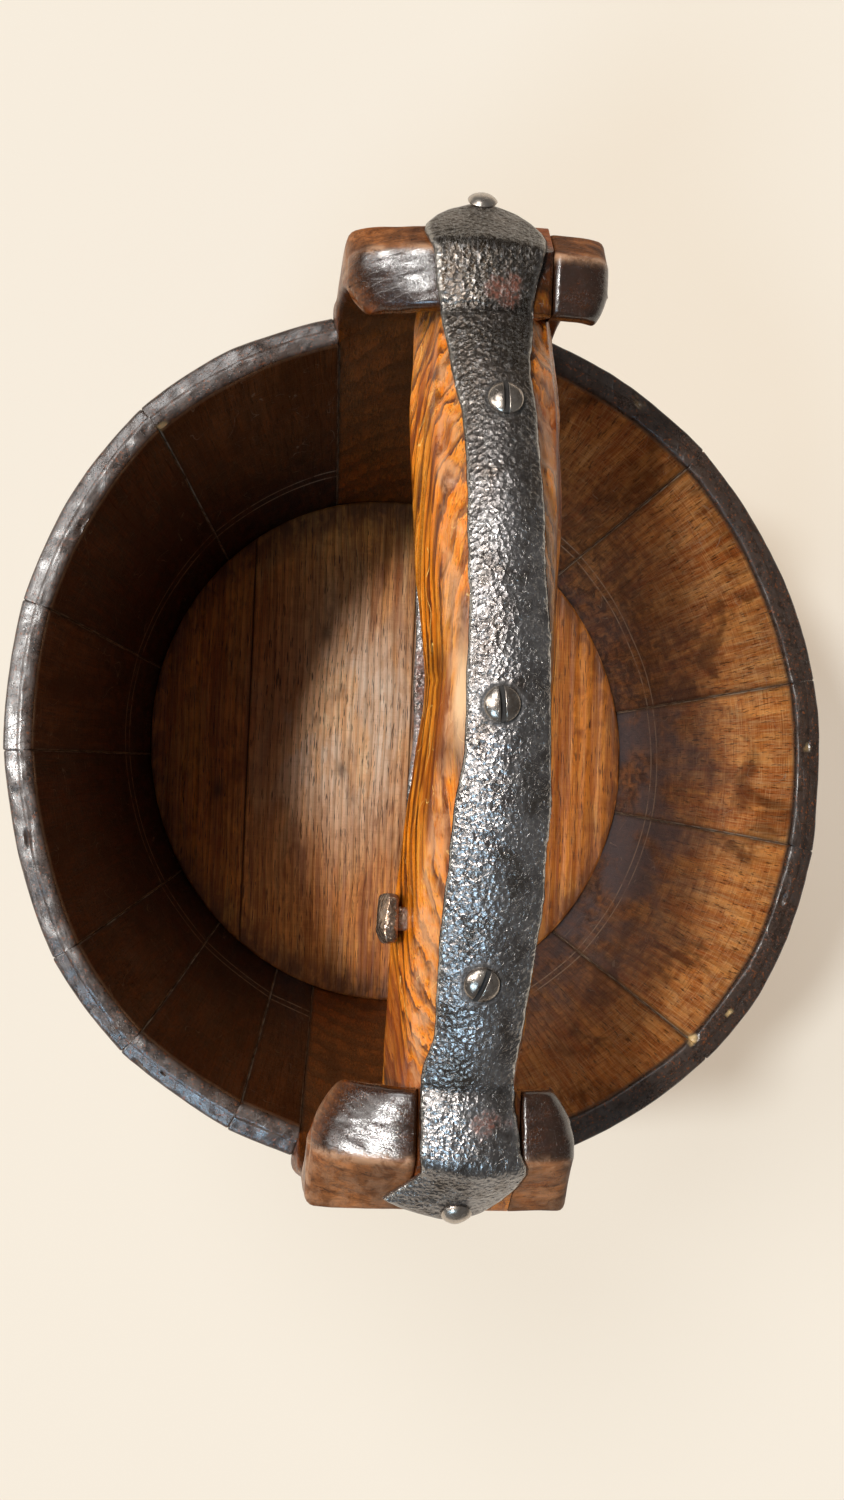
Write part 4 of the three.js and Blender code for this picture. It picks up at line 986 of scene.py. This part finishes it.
def add_rivets(name, low, lap, finish):
    """Two rivets through a hoop's lap, square to the slope of the tub's side."""
    profile = eased_profile([[0, -5], [2.3, -5], [2.3, 0], [4.5, 0], [4.4, 0.8], [2.9, 1.7], [0, 2.0]], 36)
    a = round_angle(lap)
    for i, (label, shift) in enumerate((("low", -6), ("high", 6))):
        z = low + hoop_width / 2 + shift
        at = oval(np.array([outer_radius(z) * np.cos(a), outer_radius(z) * np.sin(a), z]))
        tangent = unit(oval(np.array([-np.sin(a), np.cos(a), 0.0])) - oval(np.zeros(3)))
        out = unit(np.array([tangent[1], -tangent[0], -(rim_radius - foot_radius) / rim_height]))
        at = at + out * (2 * fit + 2 * hoop_thickness - 0.3)
        add_fastener(f"{name}_rivet_{label}", finish, lathe(profile, 24, 12 + i, 0.03), at, out,
                     1500 + 40 * i)


# Materials

def srgb(red, green, blue):
    """A display colour of 0 to 255 as linear light with full alpha."""
    value = np.array([red, green, blue]) / 255
    linear = np.where(value < 0.04045, value / 12.92, ((value + 0.055) / 1.055) ** 2.4)
    return (*linear.tolist(), 1.0)


class Field:
    """A number, colour or place that a material's nodes work out at every point of a surface. Sums,
    products and the methods below add the nodes for them."""

    def __init__(self, tree, socket):
        self.tree, self.socket = tree, socket

    def math(self, operation, other=0.0, clamp=False):
        return make(self.tree, "Math", {0: self, 1: other}, operation=operation, use_clamp=clamp)

    def __add__(self, other):
        return self.math("ADD", other)

    def __sub__(self, other):
        return self.math("SUBTRACT", other)

    def __mul__(self, other):
        return self.math("MULTIPLY", other)

    def __truediv__(self, other):
        return self.math("DIVIDE", other)

    def less(self, other):
        """The difference, held between 0 and 1."""
        return self.math("SUBTRACT", other, True)

    def rest(self):
        """What it leaves of 1, held between 0 and 1."""
        return make(self.tree, "Math", {0: 1.0, 1: self}, operation="SUBTRACT", use_clamp=True)

    def most(self, other):
        return self.math("MAXIMUM", other)

    def part(self, k):
        return make(self.tree, "SeparateXYZ", {0: self}, k)

    def scaled(self, factors):
        return make(self.tree, "VectorMath", {0: self, 1: factors}, operation="MULTIPLY")

    def noise(self, factors, detail=3.0, roughness=0.55, distortion=0.0):
        """Noise at this place, whose three factors are waves per unit of length."""
        return make(self.tree, "TexNoise", {"Vector": self.scaled(factors), "Scale": 1.0, "Detail": detail,
                                            "Roughness": roughness, "Distortion": distortion})

    def lines(self, factors, width, distortion=1.4):
        """1 along the contour lines of a noise at its middle value, 0 a width away from them: short curly
        marks."""
        return (self.noise(factors, 2.0, 0.5, distortion) - 0.5).math("ABSOLUTE").grade(width, 0.0)

    def grade(self, low, high, to_low=0.0, to_high=1.0):
        """Maps low..high to to_low..to_high along a smooth step, held at both ends."""
        sockets = {"Value": self, "From Min": low, "From Max": high, "To Min": to_low, "To Max": to_high}
        return make(self.tree, "MapRange", sockets, interpolation_type="SMOOTHSTEP")

    def between(self, a, b):
        """Goes from colour a to colour b as this number goes from 0 to 1."""
        return make(self.tree, "Mix", {0: self, 6: a, 7: b}, 2, data_type="RGBA")

    def tinted(self, tint):
        return make(self.tree, "Mix", {0: 1.0, 6: self, 7: tint}, 2, data_type="RGBA", blend_type="MULTIPLY")

    def layered(self, *layers):
        """Colours laid over this one, one after another, each with its share."""
        body = self
        for share, colour in layers:
            body = share.between(body, colour)
        return body


def make(tree, kind, inputs, out=0, **settings):
    """A shader node with its settings made and its sockets linked or set, as the field that it gives."""
    node = tree.nodes.new("ShaderNode" + kind)
    for key, value in settings.items():
        setattr(node, key, value)
    for key, value in inputs.items():
        if isinstance(value, Field):
            tree.links.new(value.socket, node.inputs[key])
        else:
            node.inputs[key].default_value = value
    return Field(tree, node.outputs[out])


def attribute(tree, name, out="Fac"):
    return make(tree, "Attribute", {}, out, attribute_name=name)


def new_material(name):
    material = bpy.data.materials.new(name)
    material.use_nodes = True
    material.node_tree.nodes.clear()
    return material, material.node_tree


def show(tree, shader):
    tree.links.new(shader.socket, tree.nodes.new("ShaderNodeOutputMaterial").inputs["Surface"])


def finish_material(tree, colour, roughness, height, distance, metallic=0.0, gloss=0.5):
    bump = make(tree, "Bump", {"Height": height, "Strength": 1.0, "Distance": distance})
    sockets = {"Base Color": colour, "Roughness": roughness, "Metallic": metallic, "Normal": bump,
               "Specular IOR Level": gloss}
    show(tree, make(tree, "BsdfPrincipled", sockets))


def late_wood(bent, streak, look):
    """Growth rings as dark bands at equal steps of the distance from a leaning pith line, pushed about and
    broken up by the streaks."""
    pith_x, pith_z, slope = look["pith"]
    dx = bent.part(0) - pith_x
    dz = bent.part(1) - pith_z - bent.part(2) * slope
    distance = (dx * dx + dz * dz).math("SQRT")
    ring = ((distance + streak * look["uneven"]) / look["ring"]).math("FRACT")
    return ring.grade(0.3, 0.9) * ring.grade(1.0, 0.92) * streak.grade(0.25, 0.6, 0.5, 1.0)


def darkened_foot(tree, body, look, tone, blotch, broad):
    """The inside of the staves: darker towards the foot, with a grey-blue bloom that is partly a painted
    sheen, and the scribed lines.
    """
    foot_dark = attribute(tree, "foot_dark")
    # a grey-blue colour over the foot of the pale staves: partly a bloom on the wood, partly a painted sheen
    bloom = attribute(tree, "bloom") * broad.grade(0.36, 0.6, 0.25, 1.0)
    foot_dark_tone = tone.between(look["foot_darkest"], look["foot_dark"])
    body = body.layered((foot_dark * blotch.grade(0.3, 0.65, 0.55, 1.0) * 0.95, foot_dark_tone),
                        (bloom * 0.8, look["bloom"]))
    height = make(tree, "TexCoord", {}, "Object").part(2)
    for level in scribed_heights:
        scribed = (height - level * MM).math("ABSOLUTE").grade(1.2 * MM, 0.3 * MM) * foot_dark
        body = body.layered((scribed * blotch.grade(0.36, 0.52, 0.2, 0.8), look["dust_and_glints"]))
    return body


def wood(name, look):
    """Old wood: growth rings, streaks, fibres, pores, stains and scrape marks across the grain, then dirt
    in the joints, worn or chipped places and a darker foot from the mesh's own values; some of these
    values paint light and shade."""
    material, tree = new_material(name)
    grain = attribute(tree, "grain", "Vector")
    wander = (grain.noise((0.02, 0.02, 0.008), 2.0) - 0.5) * look["wander"]
    shift = make(tree, "CombineXYZ", {"X": wander, "Y": wander * 0.6})
    bent = make(tree, "VectorMath", {0: grain, 1: shift}, operation="ADD")
    fibre = bent.noise((1.7, 1.7, 0.035), 5.0, 0.65)
    streak = bent.noise((0.24, 0.24, 0.007), 4.0, 0.6)
    late = late_wood(bent, streak, look)
    pores = bent.noise((1.8, 1.8, 0.11), 2.0, 0.5).grade(0.6, 0.68)
    broad = grain.noise((0.04, 0.04, 0.014), 4.0, 0.62, 0.5)
    blotch = grain.noise((0.16, 0.16, 0.09), 4.0, 0.6, 0.6)
    speck = grain.noise((0.9, 0.9, 0.9), 3.0, 0.6)
    scrape = grain.noise((0.07, 0.6, 1.0), 4.0, 0.65)
    warmth = grain.noise((0.045, 0.045, 0.014), 3.0, 0.6, 0.5)
    keys = ("tone", "flank", "rim", "crest", "bevel")
    tone, flank, rim, crest, bevel = (attribute(tree, key) for key in keys)

    dark, middle, light = (tone.between(look[key], look.get("pale_" + key, look[key]))
                           for key in ("dark", "mid", "light"))
    body = streak.grade(0.3, 0.66).between(dark, middle).layered(
        (blotch.grade(0.4, 0.66, 0.0, 0.75), dark),
        (fibre.grade(0.42, 0.72) * look["light_share"], light),
        (scrape.grade(0.5, 0.72, 0.0, look["scrape"]), light),
        (scrape.grade(0.46, 0.3, 0.0, look["scrape"]), look["late"]),
        (late * look["late_share"], look["late"]),
        (pores * look["pore_share"], look["pore"]),
        (broad.grade(look["stain_from"], look["stain_from"] + 0.14, 0.0, 0.7), look["stain"]),
        (attribute(tree, "spot") * blotch.grade(0.3, 0.5, 0.4, 1.0), look["pore"]),
        (speck.grade(0.72, 0.78, 0.0, 0.6), look["pore"]))
    body = warmth.grade(0.44, 0.56, 0.0, look["ruddy"]).between(body, body.tinted((1.12, 0.92, 0.62, 1)))
    if "foot_dark" in look:
        body = darkened_foot(tree, body, look, tone, blotch, broad)
    # curly pale marks: scratches on the staves; on the handle, pale yellow, they are partly painted glints
    marks = grain.lines((0.035, 0.035, 0.03), 0.0035, 0.8) * blotch.grade(0.46, 0.56)
    body = body.layered((marks * look["marks"], look["dust_and_glints"]),
                        (flank.grade(0.2, 0.7, 0.0, 0.6), look["dirt_and_shade"]),
                        (flank.grade(0.62, 0.8) * blotch.grade(0.4, 0.6, 0.2, 0.9), look["dust_and_glints"]))
    if "rim" in look:
        mottle = grain.noise((0.35, 0.35, 0.35), 4.0, 0.7)
        # the rim of the dark left staves takes the paler rim_left colour: a painted sheen where the lamps
        # catch it
        rim_body = tone.between(look["rim_left"], look["rim"]).layered(
            (blotch.grade(0.35, 0.65), look["rim_pale"]), (mottle.grade(0.5, 0.6, 0.0, 0.8), look["rim"]),
            (speck.grade(0.58, 0.66, 0.0, 0.85), look["rim_rust"]))
        body = body.layered((rim * speck.grade(0.3, 0.72, 0.97, 1.0), rim_body))
    if "border" in look:
        body = body.layered((attribute(tree, "border") * blotch.grade(0.35, 0.6, 0.6, 1.0) * 0.9,
                             look["border"]))
    if "crest" in look:
        figure = grain.noise((0.05, 0.3, 0.22), 5.0, 0.68, 0.8)
        cracks = grain.lines((0.09, 0.3, 0.3), 0.016, 0.9) * bevel.most(crest)
        body = body.layered(
            (crest * blotch.grade(0.4, 0.66, 0.98, 0.75), look["crest"]),
            (bevel * figure.grade(0.36, 0.66, 0.1, 0.95), look["bevel"]),
            (bevel * broad.grade(0.42, 0.6, 0.0, 0.7), look["stain"]), (cracks * 0.65, look["pore"]))
    if "edge" in look:
        body = body.layered((attribute(tree, "edge") * blotch.grade(0.4, 0.62, 0.1, 0.7), look["edge"]))
    if "shoulder" in look:
        # the carved shoulders are laid pale: their own paler figure, and partly a painted sheen
        body = body.layered((attribute(tree, "shoulder") * blotch.grade(0.38, 0.6, 0.0, 0.5),
                             look["shoulder"]),
                            (attribute(tree, "knot") * 0.85, look["dirt_and_shade"]))
    if "fresh" in look:
        body = body.layered((attribute(tree, "fresh") * 0.9, look["fresh"]))

    rough = broad.grade(0.3, 0.7, *look["rough"]) + speck.grade(0.4, 0.7, 0.0, 0.12)
    rough = (rough.less(crest * 0.15) + bevel * 0.2).less(rim * 0.12)
    curls = grain.lines((0.4, 0.4, 0.4), 0.03) * blotch.grade(0.42, 0.56)
    high = fibre * 0.5 + late * look["late_height"] - pores * 0.6 + scrape * look["scrape"] + speck * 0.3
    high = (high + curls * look["curls"]) * (rim * 0.65 + crest * 0.4).rest()
    finish_material(tree, body, rough, high, look["bump"] * MM, gloss=attribute(tree, "shine"))
    return material


def iron(name, look):
    """Forged iron: mottled grey scale, warmer towards one end, brown rust in patches and hollows, curly
    bright marks of the hammer, fine scratches along the bar, rubbed edges, and near black painted shade in
    screw slots and round screw heads."""
    material, tree = new_material(name)
    grain = attribute(tree, "grain", "Vector")
    keys = ("low", "bend", "warm", "rusty", "painted_shade")
    low, bend, warm, rusty, painted_shade = (attribute(tree, key) for key in keys)
    mottle = grain.noise((0.10, 0.10, 0.08), 5.0, 0.62, 0.3)
    swirl = make(tree, "TexNoise", {"Vector": grain, "Scale": 0.5, "Detail": 1.0}, "Color")
    curved = make(tree, "VectorMath", {0: grain.scaled((0.56, 0.56, 0.56)), 1: swirl}, operation="ADD")
    scales = make(tree, "TexVoronoi", {"Vector": curved, "Scale": 1.0}, "Distance", feature="F1")
    fine = grain.noise((0.8, 0.8, 0.7), 4.0, 0.65)
    speck = grain.noise((1.5, 1.5, 1.5), 2.0, 0.5)
    pits = grain.noise((0.55, 0.55, 0.5), 3.0, 0.5).grade(0.62, 0.72)
    scratch = grain.noise((2.2, 2.2, 0.06), 3.0, 0.6).grade(0.58, 0.74)
    curls = grain.lines((0.34, 0.34, 0.34), 0.035) * fine.grade(0.4, 0.56)
    small_curls = grain.lines((0.8, 0.8, 0.8), 0.05) * mottle.grade(0.42, 0.56)
    rust_place = grain.noise((0.05, 0.05, 0.045), 4.0, 0.65, 0.6) + rusty * 0.42
    rust = rust_place.grade(look["rust_from"], look["rust_from"] + 0.12) * fine.grade(0.36, 0.6, 0.15, 0.9)
    edge = attribute(tree, "edge") * mottle.grade(0.35, 0.6, 0.35, 1.0)
    dull = (rust * 0.85).most(painted_shade)

    body = mottle.grade(0.3, 0.6).between(look["dark"], warm.between(look["mid"], look["warm_mid"])).layered(
        (fine.grade(0.5, 0.7, 0.0, 0.4), look["light"]), (scratch * 0.35, look["light"]),
        (pits.most(low * 0.6) * 0.5, look["pit"]), (bend * 0.5, look["pit"]), (rust, look["rust"]),
        (curls.most(small_curls) * look["curls"], look["edge"]),
        (speck.grade(0.74, 0.8, 0.0, 0.8), look["edge"]),
        (edge * 0.5, look["edge"]), (painted_shade * 0.95, look["dirt_and_shade"]))
    rough = (mottle.grade(0.3, 0.7, *look["rough"]) + dull * 0.3 + warm * 0.08).less(edge * 0.08)
    high = mottle * 0.15 + scales * look["scales"] + fine * 0.12 - pits * 0.2 + curls * 0.12
    finish_material(tree, body, rough, high, look["bump"] * MM, metallic=dull.rest() * look["metal"])
    return material


def look_of(base, colours, **measures):
    """A look from a base: colours as display values, and measures of how strong each mark is."""
    return {**base, **{key: srgb(*value) for key, value in colours.items()}, **measures}


base_wood = dict(wander=6.0, uneven=2.0, ring=3.6, late_share=0.4, late_height=0.5, light_share=0.5, bump=0.2,
                 stain_from=0.6, pith=(200.0, 60.0, 0.03), pore_share=0.7, scrape=0.12, marks=0.0, curls=0.0,
                 ruddy=0.7)
# staves with a high tone take the pale_ colours and the others the plain ones: over the wood's own colour
# this paints light on the right wall and shade on the left
stave_look = look_of(base_wood, dict(
    dark=(34, 13, 3), mid=(82, 36, 8), light=(132, 65, 17), pale_dark=(190, 96, 34), pale_mid=(255, 174, 94),
    pale_light=(255, 218, 160), late=(76, 34, 11), pore=(36, 18, 8), stain=(74, 36, 13), dirt_and_shade=(24, 13, 6),
    dust_and_glints=(158, 140, 120), fresh=(222, 184, 128), rim=(34, 26, 21), rim_pale=(62, 48, 40),
    # rim_left: the rim's painted sheen on the left staves
    rim_left=(88, 74, 66),
    rim_rust=(128, 68, 28), foot_dark=(56, 38, 27), foot_darkest=(24, 11, 4), bloom=(96, 92, 96)),
    scrape=0.45, marks=0.55, late_share=0.25, stain_from=0.52, rough=(0.32, 0.46), ruddy=0.4)
ear_look = look_of(base_wood, dict(
    dark=(60, 28, 7), mid=(108, 54, 14), light=(146, 82, 26), pale_dark=(66, 32, 9), pale_mid=(128, 64, 18),
    pale_light=(178, 104, 38), late=(52, 25, 8), pore=(24, 12, 5), stain=(62, 32, 12), dirt_and_shade=(18, 10, 5),
    dust_and_glints=(90, 76, 62), edge=(214, 164, 126), crest=(46, 28, 18), bevel=(176, 108, 58)),
    pith=(8.0, 40.0, 0.0), ring=3.2, late_share=0.6, light_share=0.7, stain_from=0.5, rough=(0.28, 0.36),
    curls=0.35, bump=0.14)
# the bottom's pale_ colours are its lit, sheened centre: painted light
board_look = look_of(base_wood, dict(
    dark=(152, 78, 18), mid=(224, 140, 50), light=(244, 184, 100), pale_dark=(230, 176, 130),
    pale_mid=(255, 226, 198), pale_light=(255, 236, 214), late=(110, 54, 14), pore=(48, 25, 10),
    stain=(116, 58, 16), dirt_and_shade=(40, 22, 9), dust_and_glints=(70, 44, 22), border=(92, 48, 16)),
    ring=3.1, pith=(200.0, 260.0, 0.0), pore_share=0.85, rough=(0.42, 0.54))
# on the handle the pale yellow colour of the curly marks is partly painted glints on the carving, the pale
# shoulder colour is partly a painted sheen, and the near black crest colour is painted shade on the tenon
# tops
handle_look = look_of(base_wood, dict(
    dark=(204, 112, 24), mid=(236, 132, 18), light=(255, 196, 88), late=(78, 32, 6), pore=(80, 38, 10),
    stain=(128, 56, 10), dirt_and_shade=(40, 21, 8), dust_and_glints=(255, 206, 116), fresh=(240, 194, 146),
    shoulder=(236, 172, 120), crest=(28, 17, 10), bevel=(172, 106, 58)),
    pith=(6.0, 322.0, 0.0), ring=4.2, late_share=1.0, marks=0.9, uneven=8.0, late_height=0.6, wander=14.0,
    stain_from=0.46, rough=(0.24, 0.36))
# on iron the dirt colour is the near black painted as shade in screw slots and round screw heads; on wood it
# is dirt in joints and stains
iron_look = look_of({}, dict(
    dark=(112, 102, 94), mid=(152, 147, 146), warm_mid=(64, 52, 40), light=(186, 184, 184), pit=(38, 31, 26),
    dirt_and_shade=(20, 16, 13), rust=(116, 60, 38), edge=(206, 200, 192)),
    metal=0.92, rough=(0.25, 0.29), rust_from=0.72, bump=0.5, curls=0.4, scales=0.75)
fastener_look = look_of(iron_look, dict(
    dark=(140, 126, 114), mid=(190, 178, 166), warm_mid=(190, 178, 166), rust=(104, 62, 40)),
    rust_from=0.62, bump=0.15, curls=0.15, rough=(0.2, 0.3), scales=0.2)
spike_look = look_of(iron_look, dict(
    dark=(110, 86, 68), mid=(176, 146, 122), warm_mid=(176, 146, 122), rust=(104, 56, 34)),
    rust_from=0.56, bump=0.3)


def pin_wood():
    """Split pins of pale wood, streaked along their length in the object's own space."""
    material, tree = new_material("pin wood")
    streak = make(tree, "TexCoord", {}, "Object").noise((900.0, 60.0, 900.0), 4.0, 0.6)
    colour = streak.between(srgb(150, 112, 64), srgb(196, 158, 104))
    finish_material(tree, colour, streak.grade(0.3, 0.7, 0.5, 0.75), streak, 0.2 * MM)
    return material


# The stage

def add_floor():
    """A pale floor that is a little brighter and warmer to the camera than the light it gives back."""
    bpy.ops.mesh.primitive_plane_add(size=6, location=(0, 0, 0))
    floor = bpy.context.object
    floor.name = "floor"
    material, tree = new_material("pale floor")
    tint = make(tree, "TexCoord", {}, "Object").noise((1.5, 1.5, 1.5), 2.0, 0.5)
    colour = tint.between(srgb(242, 229, 212), srgb(245, 233, 215))
    lit = make(tree, "BsdfDiffuse", {"Color": colour.tinted((0.86, 1.01, 1.16, 1))})
    plain = make(tree, "Emission", {"Color": colour.tinted((1.21, 0.985, 0.76, 1))})
    camera_ray, glossy_ray, clear_ray = (make(tree, "LightPath", {}, f"Is {kind} Ray")
                                         for kind in ("Camera", "Glossy", "Transmission"))
    seen = camera_ray.most(glossy_ray.most(clear_ray))
    show(tree, make(tree, "MixShader", {0: seen * 0.4, 1: lit, 2: plain}))
    floor.data.materials.append(material)


def add_sun(name, towards, width, strength, colour):
    """A distant soft lamp seen in a direction, with its apparent width as an angle."""
    lamp = bpy.data.lights.new(name, "SUN")
    lamp.angle, lamp.energy, lamp.color = width, strength, colour
    holder = bpy.data.objects.new(name, lamp)
    holder.location = Vector(towards) * 2
    holder.rotation_euler = (-Vector(towards)).to_track_quat("-Z", "Y").to_euler()
    bpy.context.scene.collection.objects.link(holder)


def add_world():
    world = bpy.data.worlds.new("studio")
    world.use_nodes = True
    background = world.node_tree.nodes["Background"].inputs
    background["Color"].default_value = (1.0, 0.98, 0.95, 1)
    background["Strength"].default_value = 0.12
    bpy.context.scene.world = world


def add_camera():
    """The photograph's point of view: 0.85 m over the floor, a little to the left of the bucket."""
    data = bpy.data.cameras.new("camera")
    data.sensor_width, data.sensor_fit, data.lens = 36.0, "AUTO", 36.557
    camera = bpy.data.objects.new("camera", data)
    camera.location = (np.array([-60.8, -18.28, 850.0]) + axis) * MM
    camera.rotation_euler = (0.02186, -0.10122, 0.04099)
    bpy.context.scene.collection.objects.link(camera)
    bpy.context.scene.camera = camera


stave_finish, ear_finish, board_finish, handle_finish = (
    (kind + "_wood", wood(kind + " wood", look)) for kind, look in
    (("stave", stave_look), ("ear", ear_look), ("board", board_look), ("handle", handle_look)))
iron_finish = ("forged_iron", iron("forged iron", iron_look))
fastener_finish = ("fastener_iron", iron("fastener iron", fastener_look))
spike_finish = ("fastener_iron", iron("spike iron", spike_look))

number = 0
for i, (start, stop) in enumerate(zip(stave_joints, [*stave_joints[1:], stave_joints[0] + 360])):
    span = round_angle(start), round_angle(stop)
    if i == far_ear_stave:
        add_ear("ear_stave_far", far_head, *span, ear_finish)
    elif i == near_ear_stave:
        add_ear("ear_stave_near", near_head, *span, ear_finish)
    else:
        number += 1
        add_stave(number, *span, stave_finish)
# the outer boards run out past the tub, and its groove bounds them
board_edges = [-400.0, *board_joints, 400.0]
for i, (left, right) in enumerate(zip(board_edges, board_edges[1:])):
    add_board(i + 1, left, right, board_finish)
pins = pin_wood()
for joint in range(len(board_joints)):
    for end in ("near", "far"):
        pin = bpy.data.objects[f"bottom_pin_{joint + 1}_{end}"].data
        pin.materials.clear()
        pin.materials.append(pins)
add_handle_bar(handle_finish)
add_strap(iron_finish)
add_under_strap(iron_finish)
for add in (add_screws, add_nails, add_tacks):
    add(fastener_finish)
add_spike(spike_finish)
for hoop, (low, lap) in hoops.items():
    add_hoop(hoop, low, lap, iron_finish)
    add_rivets(hoop, low, lap, fastener_finish)
add_floor()
add_world()
add_sun("key", (-0.46, 0.075, 0.885), 0.1, 1.9, (1.0, 0.98, 0.95))
add_sun("low side", (-0.8, 0.12, 0.59), 0.5, 0.85, (1.0, 0.98, 0.95))
add_sun("far fill", (-0.32, 0.52, 0.79), 0.4, 0.66, (1.0, 1.0, 1.0))
add_sun("near fill", (-0.36, -0.58, 0.73), 0.3, 0.8, (0.5, 0.76, 1.0))
bpy.context.scene.view_settings.view_transform = "Standard"
add_camera()
